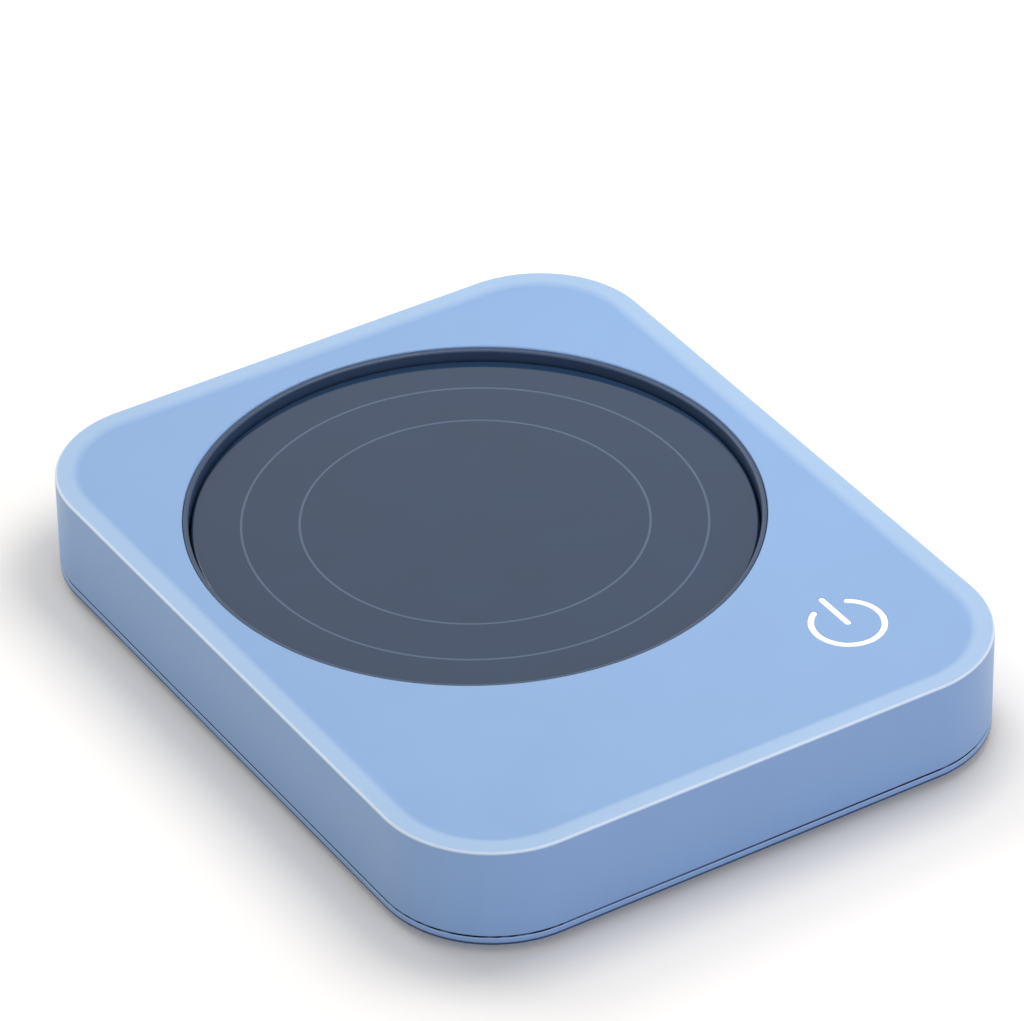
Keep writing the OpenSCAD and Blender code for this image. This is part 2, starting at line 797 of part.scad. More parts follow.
module heater_backing() color([0.78, 0.7, 0.52]) difference() {
    at_well() post(stack_radius, mica_z, foil_z);
    stack_holes(mica_z - bite, foil_z + bite, false);
}

module insulation_pad() color([0.85, 0.83, 0.78]) difference() {
    at_well() post(stack_radius, pad_z, mica_z);
    stack_holes(pad_z - bite, mica_z + bite, true);
}

module plate_carrier() color([0.25, 0.26, 0.28]) difference() {
    union() {
        at_well() post(tray_flange, tray_z, pad_z);
        at_well() post(tray_outer, tray_z, glass_z);
        at_posts() post(sleeve_radius, sleeve_bottom, tray_z + bite);
        translate([striker_x, switch_y, 0]) post(striker_radius, striker_z, tray_z + bite);
    }
    at_well() post(tray_inner, pad_z, glass_z + bite);
    at_posts() post(sleeve_bore, sleeve_bottom - bite, tray_z + tray_floor / 2);
    at_hubs() post(small_screw + hole_play, tray_z - bite, pad_z + bite);
    at_lead_hole() post(lead_hole, tray_z - bite, pad_z + bite);
    at_well() translate(bead_at) post(bead_hole, tray_z - bite, pad_z + bite);
    at_well() translate(fuse_at)
        block([2 * (fuse_radius + hole_play), fuse_length + 2 * fuse_wire_length + 1,
               tray_floor + 2 * bite], tray_z - bite);
}

module carrier_screws() color(STEEL) at_hubs() translate([0, 0, tray_z])
    screw(small_screw, spreader_z - tray_z, small_head, small_head_height);

module plate_springs() color(STEEL) at_posts()
    coil(spring_radius, spring_wire, spring_turns, cover_top, tray_z);

module thermistor() color([0.15, 0.15, 0.17]) at_well() translate(bead_at)
    translate([0, 0, mica_z - bead_radius - icon_gap]) sphere(bead_radius);

module thermal_fuse() color([0.85, 0.86, 0.88]) at_well()
    translate([fuse_at[0], fuse_at[1], mica_z - fuse_radius - icon_gap]) rotate([90, 0, 0]) {
        cylinder(r = fuse_radius, h = fuse_length, center = true);
        cylinder(r = fuse_wire, h = fuse_length + 2 * fuse_wire_length, center = true);
    }

// Leads drop out of the tray, bend forward and run on halfway between the tray and the board
lead_curve = 3;
lead_level = (tray_z + board_top) / 2;
lead_bend = 2.4;
lead_end = 3.5;

// The bend from straight down to straight forward, ending at lead_level
function lead_turn(top, bend) = [for (a = [0, 30, 60, 90])
    [top[0], top[1] - bend * (1 - cos(a)), lead_level + bend * (1 - sin(a))]];

module lead(points, radius) {
    tube(smooth(points, lead_curve), radius);
}

module heater_leads() color([0.75, 0.2, 0.15]) for (side = [-1, 1]) {
    top = [lead_circle * cos(lead_angle) - side * lead_pair * sin(lead_angle),
           well_y + lead_circle * sin(lead_angle) + side * lead_pair * cos(lead_angle),
           foil_z - icon_gap];
    end = [heater_connector_at[0] + side * lead_pair,
           heater_connector_at[1] + connector_depth / 2 + safe_gap, lead_level];
    lead(concat([top], lead_turn(top, lead_bend), [
        [(2 * top[0] + end[0]) / 3, (2 * top[1] + end[1]) / 3, lead_level],
        [(top[0] + 2 * end[0]) / 3, (top[1] + 2 * end[1]) / 3, lead_level],
        end + [0, lead_end, 0], end
    ]), power_lead);
}

module sensor_leads() color([0.9, 0.9, 0.88]) for (side = [-1, 1]) {
    pair = side * 1.5 * signal_lead;
    top = [bead_at[0] + pair, well_y + bead_at[1], mica_z - 2 * bead_radius - 2 * icon_gap];
    end = [signal_connector_at[0] + pair, signal_connector_at[1] + connector_depth / 2 + safe_gap,
           lead_level];
    lead(concat(lead_turn(top, top[2] - lead_level), [
        [12.5 + pair, well_y - 16, lead_level], [14.5 + pair, well_y - switch_out, lead_level],
        end + [0, 2 * lead_end, 0], end + [0, lead_end, 0], end
    ]), signal_lead);
}

// ---- Weight switch ----

module switch_body() color([0.12, 0.12, 0.14]) translate([0, switch_y, 0]) difference() {
    union() {
        block([switch_length, switch_width, switch_height], cover_top);
        for (y = [-1, 1])
            translate([pivot_x, y * (lever_width / 2 + lever_play + ear_thickness / 2), 0])
                block([2 * ear_reach, ear_thickness, ear_top - switch_top + bite], switch_top - bite);
    }
    for (x = [-1, 1])
        translate([x * mount_pitch / 2, switch_width, cover_top + mount_height])
            rotate([90, 0, 0]) cylinder(r = mount_pin + icon_gap, h = 2 * switch_width);
    translate([plunger_x, 0, 0]) post(plunger_radius + running_gap, plunger_well, switch_top + bite);
    translate([pivot_x, switch_width, pivot_z])
        rotate([90, 0, 0]) cylinder(r = pin_radius + thread_play, h = 2 * switch_width);
    for (x = [-1, 1]) translate([x * terminal_x, -switch_width / 2, 0])
        block(terminal, cover_top + terminal_height);
}

module switch_terminals() color(COPPER) translate([0, switch_y - switch_width / 2, 0])
    for (x = [-1, 1]) translate([x * terminal_x, 0, 0])
        block(terminal, cover_top + terminal_height);

module lever_pin() color(STEEL) translate([pivot_x, switch_y + switch_width / 2, pivot_z])
    rotate([90, 0, 0]) cylinder(r = pin_radius, h = switch_width);

module switch_lever() color(STEEL) translate([pivot_x, switch_y, 0]) difference() {
    union() {
        translate([0, -lever_width / 2, lever_z]) cube([lever_length, lever_width, lever_thickness]);
        translate([0, lever_width / 2, pivot_z])
            rotate([90, 0, 0]) cylinder(r = barrel_radius, h = lever_width);
    }
    translate([0, lever_width, pivot_z])
        rotate([90, 0, 0]) cylinder(r = barrel_bore, h = 2 * lever_width);
}

module switch_plunger() color([0.8, 0.25, 0.2]) translate([plunger_x, switch_y, 0])
    rotate_extrude() polygon([
        [0, plunger_bottom], [plunger_radius, plunger_bottom],
        [plunger_radius, plunger_top - plunger_radius / 3],
        [plunger_radius * 2 / 3, plunger_top], [0, plunger_top]
    ]);

// Both leads leave the switch's front, rise over the board's edge and run to the connector
module switch_leads() color([0.9, 0.9, 0.88]) for (i = [-1, 1]) {
    start = [i * terminal_x,
             switch_y - switch_width / 2 - terminal[1] / 2 - 2 * fit_gap,
             cover_top + terminal_height + terminal[2] / 2];
    end = [signal_connector_at[0] - 3 + i * 2 * signal_lead,
           signal_connector_at[1] + connector_depth / 2 + 2 * fit_gap, board_top + 2 * signal_lead];
    edge = [3 + 4 * i, well_y - board_cut + 5.5, end[2]];
    lead([
        start, start + [0.4, -2, 0.1], edge, (edge + end + [2, lead_end, 0]) / 2,
        end + [0, lead_end, 0], end
    ], signal_lead);
}

// ---- Board ----

module board_area() {
    difference() {
        intersection() {
            rounded_area(body_width - 2 * board_inset, body_depth - 2 * board_inset,
                         corner_radius - board_inset);
            translate([-body_width / 2, -body_depth / 2])
                square([body_width, board_back + body_depth / 2]);
        }
        translate([0, well_y]) circle(board_cut);
        for (x = [-1, 1])
            translate([x * (corner_x + boss_out), -corner_y - boss_out]) circle(cover_boss + bite);
        for (at = board_screws_at) translate(at) circle(small_screw + hole_play);
    }
}

module main_board() color(BOARD_GREEN)
    translate([0, 0, board_z]) linear_extrude(board_thickness) board_area();

module board_screws() color(STEEL) for (at = board_screws_at)
    translate([at[0], at[1], board_top]) mirror([0, 0, 1])
        screw(small_screw, board_screw_length, small_head, small_head_height);

module controller_chip() color([0.13, 0.13, 0.15]) translate(chip_at) {
    chip = [10, 4, 1.5];
    leg = [0.4, 6, 0.4];
    legs = 8;
    leg_pitch = 1.27;
    block(chip, board_top + leg[2] / 2);
    for (i = [0 : legs - 1])
        translate([(i - (legs - 1) / 2) * leg_pitch, 0, 0]) block(leg, board_top);
}

module power_transistor() color([0.13, 0.13, 0.15]) translate(transistor_at) {
    case = [6.6, 6, 2.3];
    tab = [5.3, 2, 0.6];
    leg = [0.8, 3, 0.5];
    block(case, board_top);
    translate([0, case[1] / 2 + tab[1] / 2 - bite, 0]) block(tab, board_top);
    for (x = [-1, 1])
        translate([x * case[0] / 3, -case[1] / 2 - leg[1] / 2 + bite, 0]) block(leg, board_top);
}

module filter_capacitor() color([0.2, 0.24, 0.4]) translate(capacitor_at) rotate_extrude() polygon([
    [0, board_top], [capacitor_radius, board_top],
    [capacitor_radius, board_top + capacitor_height - cover_chamfer],
    [capacitor_radius - cover_chamfer, board_top + capacitor_height],
    [0, board_top + capacitor_height]
]);

module buzzer() color([0.1, 0.1, 0.11]) translate(buzzer_at) difference() {
    post(buzzer_radius, board_top, board_top + buzzer_height);
    post(buzzer_radius / 4, board_top + buzzer_height / 2, board_top + buzzer_height + bite);
}

module status_led() color([1, 0.95, 0.8]) at_icon() {
    led = [3.5, 2.8, 0.9];
    block(led, board_top);
    post(led[1] / 2 - fit_gap, board_top + led[2] - fit_gap, board_top + 2 * led[2]);
}

// A connector on the board, open towards the plate
module connector(width, pins) {
    skin = 0.8;
    difference() {
        block([width, connector_depth, connector_height], board_top);
        translate([0, skin, 0])
            block([width - 2 * skin, connector_depth - skin, connector_height], board_top + 4 * skin);
    }
    pitch = (width - 4 * skin) / pins;
    for (i = [0 : pins - 1]) translate([(i - (pins - 1) / 2) * pitch, 0, 0])
        block([skin, skin, connector_height - skin], board_top);
}

module heater_connector() color([0.93, 0.93, 0.9]) translate(heater_connector_at)
    connector(heater_connector_width, 2);

module signal_connector() color([0.93, 0.93, 0.9]) translate(signal_connector_at)
    connector(signal_connector_width, 4);

module touch_spring() color(STEEL) at_icon()
    coil(touch_radius, touch_wire, touch_turns, board_top, guide_z);

// ---- Power inlet ----

module along_inlet(from_y) {
    translate([inlet_x, from_y, inlet_z]) rotate([-90, 0, 0]) children();
}

module inlet_socket() color([0.08, 0.08, 0.09]) difference() {
    union() {
        translate([inlet_x, inlet_back + inlet_length / 2, 0])
            block([inlet_width, inlet_length, inlet_height], inlet_z - inlet_height / 2);
        along_inlet(back_inside - 2 * bite) cylinder(r = inlet_nose, h = wall + 2 * bite);
    }
    along_inlet(bore_end) cylinder(r = inlet_bore, h = inlet_depth + bite);
    along_inlet(inlet_back - bite) cylinder(r = pin_root + thread_play, h = inlet_length);
    translate([inlet_x + inlet_bore - contact_reach, bore_end, inlet_z - contact_size[2] / 2])
        cube([contact_size[0] + thread_play, contact_size[1], contact_size[2]]);
}

module inlet_pin() color(STEEL) union() {
    along_inlet(inlet_back) cylinder(r = pin_root, h = bore_end - inlet_back);
    along_inlet(bore_end - bite)
        cylinder(r = inlet_pin_radius, h = inlet_depth - pin_recess - inlet_pin_radius / 2 + bite);
    along_inlet(back_face - pin_recess - inlet_pin_radius / 2)
        cylinder(r1 = inlet_pin_radius, r2 = inlet_pin_radius / 2, h = inlet_pin_radius / 2);
}

module inlet_contact() color(COPPER)
    translate([inlet_x + inlet_bore - contact_reach, bore_end, inlet_z - contact_size[2] / 2])
        cube(contact_size);

// Two leads from the inlet's back, one above the other along the right wall, onto the board
module inlet_leads() color([0.15, 0.15, 0.17]) for (i = [0, 1]) {
    side_x = body_width / 2 - wall - tongue_gap - tongue - power_lead - safe_gap;
    low = cover_top + power_lead + fit_gap * 2 + i * (2 * power_lead + fit_gap * 2);
    start = [inlet_x + (1 - i * 2) * 2 * power_lead, inlet_back - safe_gap, inlet_z - power_lead];
    end = [side_x - 0.6 - i * 3 * power_lead, board_back - 5, board_top + power_lead + icon_gap];
    lead([
        start, start + [0, -2.5, 0], [inlet_x + 7 - 2 * i, inlet_back - 5.5 - 1.5 * i, low + 1],
        [side_x - 4, well_y + 24, low], [side_x, well_y + 13, low], [side_x, well_y, low],
        [side_x, well_y - 12, low], [side_x - i, end[1] + 13, low + fit_gap],
        [end[0] + (1 - i) * 0.4, end[1] + 8.5, (low + end[2]) / 2 + i * 0.3],
        end + [0, 5, 0.1], end
    ], power_lead);
}

top_housing();
bottom_cover();
well_ring();
icon_lightguide();
heating_plate();
spreader_plate();
heater_foil();
heater_backing();
insulation_pad();
plate_carrier();
carrier_screws();
plate_springs();
thermistor();
thermal_fuse();
heater_leads();
sensor_leads();
switch_body();
switch_terminals();
switch_lever();
lever_pin();
switch_plunger();
switch_leads();
main_board();
board_screws();
controller_chip();
power_transistor();
filter_capacitor();
buzzer();
status_led();
heater_connector();
signal_connector();
touch_spring();
inlet_socket();
inlet_pin();
inlet_contact();
inlet_leads();
cover_screws();
ring_screws();
rubber_feet();
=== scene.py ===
"""Looks of a flat electric mug warmer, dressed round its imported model.

Every new piece is a surface worked out with numpy. An outline is a set of points with a direction
at each, so the outline grown by some distance is one expression, and a wall is such an outline
carried along a profile of distances and heights. A flat face with holes is triangulated between
closed loops. Lengths are in metres. +Z is up, +X is the user's right and -Y is the front edge.
"""

from __future__ import annotations

import json
import logging
import math
from dataclasses import dataclass
from enum import Enum
from typing import Callable, Sequence

import bmesh
import bpy
import numpy as np
from mathutils import Matrix, Vector
from mathutils.geometry import delaunay_2d_cdt

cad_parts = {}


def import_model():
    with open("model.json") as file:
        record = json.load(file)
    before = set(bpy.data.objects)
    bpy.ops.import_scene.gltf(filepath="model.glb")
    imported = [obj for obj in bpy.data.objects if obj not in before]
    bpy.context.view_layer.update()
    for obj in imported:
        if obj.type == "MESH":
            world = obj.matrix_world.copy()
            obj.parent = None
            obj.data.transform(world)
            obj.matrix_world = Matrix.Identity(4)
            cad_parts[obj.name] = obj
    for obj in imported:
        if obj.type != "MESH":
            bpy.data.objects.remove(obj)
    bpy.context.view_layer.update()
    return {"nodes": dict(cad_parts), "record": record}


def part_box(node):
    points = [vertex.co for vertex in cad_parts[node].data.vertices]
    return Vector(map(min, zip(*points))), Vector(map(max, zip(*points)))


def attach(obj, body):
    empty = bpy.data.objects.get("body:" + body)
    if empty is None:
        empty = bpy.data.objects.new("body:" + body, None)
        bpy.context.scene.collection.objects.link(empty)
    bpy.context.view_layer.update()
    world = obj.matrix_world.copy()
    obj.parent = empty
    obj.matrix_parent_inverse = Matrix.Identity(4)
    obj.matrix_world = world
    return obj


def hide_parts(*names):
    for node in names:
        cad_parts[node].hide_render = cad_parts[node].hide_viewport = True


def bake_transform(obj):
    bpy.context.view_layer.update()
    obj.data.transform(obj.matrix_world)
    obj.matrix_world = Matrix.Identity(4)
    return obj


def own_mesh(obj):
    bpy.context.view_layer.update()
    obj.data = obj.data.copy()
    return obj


LOG = logging.getLogger("mug_warmer")
MM = 0.001

Array = np.ndarray
Colour = tuple[float, float, float]
# A point on a flat face, or one (grow, height) of a profile.
Place = tuple[float, float]
# Takes flat points (n, 2) to their places (n, 3).
Placing = Callable[[Array], Array]
Piece = bpy.types.Object
Material = bpy.types.Material
Tree = bpy.types.NodeTree
Node = bpy.types.Node
Socket = bpy.types.NodeSocket

# Signs of X and Y at a rectangle's four corners, turning left from the right back one.
CORNERS = np.array([[1, 1], [-1, 1], [-1, -1], [1, -1]])


# ---- Outlines, profiles and shells ----


def turn_points(start: float, end: float, steps: int) -> Array:
    """Points of the unit circle: cosine and sine of evenly spaced angles.

    Args:
        start: First angle in degrees.
        end: Last angle in degrees.
        steps: Number of equal parts between them.

    Returns:
        An array of (steps + 1, 2).
    """
    angles = np.radians(np.linspace(start, end, steps + 1))
    return np.stack([np.cos(angles), np.sin(angles)], axis=-1)


@dataclass(frozen=True)
class Outline:
    """A closed outline: points, and the direction in which each moves as the outline grows."""

    points: Array
    directions: Array

    def at(self, grow: float) -> Array:
        """The loop of point + grow * direction."""
        return self.points + grow * self.directions

    def loops(self, profile: Array) -> Array:
        """Carries the outline along a profile: each row of it is one grown loop at one height.

        Args:
            profile: Rows of (grow, height).

        Returns:
            An array of (rows, points, 3).
        """
        flat = self.points[None] + profile[:, None, :1] * self.directions[None]
        heights = np.broadcast_to(profile[:, None, 1:], (*flat.shape[:2], 1))
        return np.concatenate([flat, heights], axis=-1)


def round_outline(centre: Sequence[float], steps: int = 64) -> Outline:
    """A circle of no radius, so growing it by r gives the circle of radius r."""
    around = turn_points(0, 360, steps)[:-1]
    return Outline(np.broadcast_to(np.asarray(centre, float), around.shape), around)


def stroke_outline(spine: Array, steps: int = 10) -> Outline:
    """A line with round ends: its two sides and a half circle round each end.

    Growing it by h gives the line of half width h. The sides move square to the spine, and each
    end's points fan out over 180 degrees from one side to the other.

    Args:
        spine: Points along the middle of the line, (n, 2).
        steps: Parts of each half circle.

    Returns:
        The outline, with no width of its own.
    """
    along = np.gradient(spine, axis=0)
    along /= np.linalg.norm(along, axis=1, keepdims=True)
    side = np.stack([-along[:, 1], along[:, 0]], axis=-1)
    fan = turn_points(0, 180, steps)[1:-1]
    far_end = fan[:, :1] * side[-1] + fan[:, 1:] * along[-1]
    near_end = -fan[:, :1] * side[0] - fan[:, 1:] * along[0]
    points = np.concatenate([
        spine, np.broadcast_to(spine[-1], far_end.shape),
        spine[::-1], np.broadcast_to(spine[0], near_end.shape),
    ])
    return Outline(points, np.concatenate([side, far_end, -side[::-1], near_end]))


def box_outline(
    width: float, depth: float, radius: float, centre: Sequence[float], steps: int = 6
) -> Outline:
    """A rectangle with round corners: each quarter circle is turned about its own corner's centre."""
    corner = np.array([width / 2 - radius, depth / 2 - radius])
    quarters = np.stack([turn_points(90 * turn, 90 * turn + 90, steps) for turn in range(4)])
    points = np.asarray(centre, float) + (corner * CORNERS)[:, None] + radius * quarters
    return Outline(points.reshape(-1, 2), quarters.reshape(-1, 2))


def eared_outline(
    centre: Sequence[float], radius: float, reach: float, ear: float, angles: Sequence[float], steps: int
) -> Outline:
    """A circle that bulges to a round ear in some directions, as a polar function.

    Where a ray at angle a from an ear's direction passes within the ear's radius r of its centre, at
    distance d, the edge lies at d cos(a) + sqrt(r^2 - (d sin(a))^2) if that is further out.

    Args:
        centre: Middle of the circle.
        radius: Radius of the circle.
        reach: Distance of each ear's centre from the middle.
        ear: Radius of each ear.
        angles: Directions of the ears, in degrees.
        steps: Number of points.

    Returns:
        The outline.
    """
    around = turn_points(0, 360, steps)[:-1]
    edge = np.full(steps, radius)
    for angle in np.radians(angles):
        towards = around @ np.array([math.cos(angle), math.sin(angle)])
        within = ear ** 2 - reach ** 2 * (1 - towards ** 2)
        bulge = reach * towards + np.sqrt(np.maximum(within, 0))
        edge = np.where((within > 0) & (towards > 0), np.maximum(edge, bulge), edge)
    return Outline(np.asarray(centre, float) + edge[:, None] * around, around)


def bend(start: Place, end: Place, upright_first: bool, steps: int = 6) -> Array:
    """A quarter ellipse between two points of a profile.

    One coordinate follows 1 - cos(t) and the other sin(t) for t from 0 to 90 degrees.

    Args:
        start: First (grow, height).
        end: Last (grow, height).
        upright_first: True if the curve leaves its start straight up or down.
        steps: Number of parts.

    Returns:
        Rows of (grow, height).
    """
    angles = np.radians(np.linspace(0, 90, steps + 1))
    slow, fast = 1 - np.cos(angles), np.sin(angles)
    shares = np.stack([slow, fast] if upright_first else [fast, slow], axis=-1)
    return np.asarray(start) + (np.asarray(end) - np.asarray(start)) * shares


def profile(*parts: Array | Place) -> Array:
    """Joins points and curves into one profile of (grow, height) rows."""
    return np.vstack([np.atleast_2d(np.asarray(part, float)) for part in parts])


def level(height: float) -> Placing:
    """A placing that lays flat points at a height."""
    return lambda flat: np.column_stack([flat, np.full(len(flat), height)])


def upright(depth: float) -> Placing:
    """A placing that stands flat points up, facing along Y at a depth."""
    return lambda flat: np.column_stack([flat[:, 0], np.full(len(flat), depth), flat[:, 1]])


def sideways(x: float) -> Placing:
    """A placing that stands flat points up, facing along X."""
    return lambda flat: np.column_stack([np.full(len(flat), x), flat])


def stood_up(loops: Array) -> Array:
    """Loops worked out over the XZ plane, with their heights turned into depths along Y."""
    return loops[..., [0, 2, 1]]


def smooth_path(points: Array, steps: int = 6) -> Array:
    """A Catmull-Rom curve through points.

    From b to c, between neighbours a and d, a point of it is half of
    2b + (c - a)t + (2a - 5b + 4c - d)t^2 + (3b - a - 3c + d)t^3, for t from 0 to 1.

    Args:
        points: The points that the curve passes, (n, 3).
        steps: Parts of each stretch.

    Returns:
        Points along the curve, ((n - 1) * steps + 1, 3).
    """
    padded = np.concatenate([points[:1], points, points[-1:]])
    a, b, c, d = (padded[k:len(points) - 1 + k, None] for k in range(4))
    t = (np.arange(steps) / steps)[None, :, None]
    cubic = 2 * b + (c - a) * t + (2 * a - 5 * b + 4 * c - d) * t ** 2 + (3 * b - a - 3 * c + d) * t ** 3
    return np.concatenate([cubic.reshape(-1, 3) / 2, points[-1:]])


def tube(path: Array, radius: float, reference: Sequence[float], sides: int = 14) -> Array:
    """Rings round a path, closed at both ends by a ring of no radius.

    With s the reference made square to the path and n square to both, a ring's points are
    path + radius * (cos(a) s + sin(a) n).

    Args:
        path: Points along the middle, (n, 3).
        radius: The tube's radius.
        reference: A direction that the path never follows.
        sides: Points of a ring.

    Returns:
        An array of (n + 2, sides, 3).
    """
    along = np.gradient(path, axis=0)
    along /= np.linalg.norm(along, axis=1, keepdims=True)
    side = np.asarray(reference, float) - along * (along @ np.asarray(reference, float))[:, None]
    side /= np.linalg.norm(side, axis=1, keepdims=True)
    around = turn_points(0, 360, sides)[:-1, :, None]
    turned = around[:, 0] * side[:, None] + around[:, 1] * np.cross(along, side)[:, None]
    rings = path[:, None] + radius * turned
    ends = np.broadcast_to(path[[0, -1], None], (2, sides, 3))
    return np.concatenate([ends[:1], rings, ends[1:]])


def inside(points: Array, start: Array, end: Array) -> Array:
    """Even-odd rule: a point is inside where a ray along +X crosses an odd number of edges.

    Args:
        points: Points to test, (n, 2).
        start: First ends of the edges, (m, 2).
        end: Last ends of the edges, (m, 2).

    Returns:
        One boolean for each point.
    """
    x, y = points[:, :1], points[:, 1:]
    straddles = (start[:, 1] > y) != (end[:, 1] > y)
    rise = np.where(start[:, 1] == end[:, 1], 1.0, end[:, 1] - start[:, 1])
    crossing = start[:, 0] + (y - start[:, 1]) * (end[:, 0] - start[:, 0]) / rise
    return (straddles & (crossing > x)).sum(axis=1) % 2 == 1


def triangulate(loops: Sequence[Array]) -> tuple[Array, Array]:
    """Fills the area between closed loops with a constrained Delaunay triangulation.

    A triangle is kept if its middle passes the even-odd rule against all the loops' edges.

    Args:
        loops: The outer loop and the holes in it, each (n, 2), in metres.

    Returns:
        The corners (n, 2) and the triangles (m, 3) that join them.
    """
    points = np.concatenate(loops) / MM
    firsts = np.cumsum([0] + [len(loop) for loop in loops[:-1]])
    edges = np.concatenate([
        first + np.stack([np.arange(len(loop)), np.roll(np.arange(len(loop)), -1)], axis=-1)
        for first, loop in zip(firsts, loops)
    ])
    convex_hull, tolerance = 0, 1e-6
    found = delaunay_2d_cdt(points.tolist(), edges.tolist(), [], convex_hull, tolerance)
    corners, triangles = np.array(found[0]), np.array(found[2])
    kept = inside(corners[triangles].mean(axis=1), points[edges[:, 0]], points[edges[:, 1]])
    return corners * MM, triangles[kept]


class Mark(Enum):
    """Channels of the colour attribute that tells a finish which points lie where."""

    # A lighter band on the lip, partly a painted highlight round the rim.
    LIP = 0
    # A painted highlight along the rim's crease and the cover's lip.
    HIGHLIGHT = 1
    # Painted shade in the seam's groove and along the cover's lower edge.
    SHADE = 2


# For each mark, one strength for the whole loft or one for each of its rows.
Strengths = dict[Mark, Array | Sequence[float] | float]


def new_object(name: str, data: bpy.types.ID) -> Piece:
    """Makes an object of a mesh, a lamp or a camera, and links it to the scene."""
    made = bpy.data.objects.new(name, data)
    bpy.context.scene.collection.objects.link(made)
    return made


class Shell:
    """Collects lofts and caps, and welds them into one mesh."""

    WELD = 2e-6
    SHARP = math.radians(38)
    MARKS = "marks"

    def __init__(self) -> None:
        """Starts with no points and no faces."""
        self._points: list[Array] = []
        self._marks: list[Array] = []
        self._faces: list[Array] = []
        self._count = 0

    def _keep(self, points: Array, marks: Array) -> int:
        """Keeps points with their marks, and returns the number of the first one."""
        first = self._count
        self._points.append(points)
        self._marks.append(marks)
        self._count += len(points)
        return first

    def loft(self, loops: Array, skip: Sequence[int] = (), marks: Strengths | None = None) -> None:
        """Joins each loop to the next by quads: point k and k + 1 of one to those of the other.

        Args:
            loops: (rows, points, 3), each row a closed loop.
            skip: Numbers of the columns that are left open.
            marks: For each mark that is set, one strength or one for each row.
        """
        rows, columns = loops.shape[:2]
        spread = np.zeros((rows, columns, 4))
        for mark, strength in (marks or {}).items():
            spread[..., mark.value] = np.asarray(strength, float).reshape(-1, 1)
        first = self._keep(loops.reshape(-1, 3), spread.reshape(-1, 4))
        here = first + np.arange(rows * columns).reshape(rows, columns)
        ahead = np.roll(here, -1, axis=1)
        quads = np.stack([here[:-1], ahead[:-1], ahead[1:], here[1:]], axis=-1)
        self._faces.append(np.delete(quads, list(skip), axis=1).reshape(-1, 4))

    def wall(
        self, outline: Outline, *parts: Array | Place, skip: Sequence[int] = (),
        marks: Strengths | None = None,
    ) -> None:
        """Carries an outline along the profile that the parts make."""
        self.loft(outline.loops(profile(*parts)), skip, marks)

    def cap(self, loops: Sequence[Array], place: Placing) -> None:
        """Fills the area between flat loops, then places it."""
        corners, triangles = triangulate(loops)
        self._faces.append(self._keep(place(corners), np.zeros((len(corners), 4))) + triangles)

    def post(self, outline: Outline, *parts: Array | Place, closed_start: bool = False) -> None:
        """Makes a wall and closes its last loop, and its first if told to."""
        self.wall(outline, *parts)
        rows = profile(*parts)
        for grow, height in rows[[-1, 0]] if closed_start else rows[-1:]:
            self.cap([outline.at(grow)], level(height))

    def piece(self, name: str) -> Piece:
        """Welds what was collected into an object at the origin, with its faces turned outwards."""
        mesh = bpy.data.meshes.new(name)
        faces = [face for group in self._faces for face in group.tolist()]
        mesh.from_pydata(np.concatenate(self._points), [], faces)
        marks = mesh.attributes.new(self.MARKS, "FLOAT_COLOR", "POINT")
        marks.data.foreach_set("color", np.concatenate(self._marks).astype(np.float32).ravel())
        work = bmesh.new()
        work.from_mesh(mesh)
        bmesh.ops.remove_doubles(work, verts=work.verts, dist=self.WELD)
        bmesh.ops.recalc_face_normals(work, faces=work.faces)
        work.to_mesh(mesh)
        work.free()
        mesh.shade_smooth()
        mesh.set_sharp_from_angle(angle=self.SHARP)
        return new_object(name, mesh)


class Body(Enum):
    """The bodies of the frame."""

    CASING = "casing"
    PLATE = "plate"


# ---- Places shared by the pieces ----


def middle(node: str) -> list[float]:
    """The middle of a CAD node's box: its x, y and z."""
    return np.mean([tuple(corner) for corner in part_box(node)], axis=0).tolist()


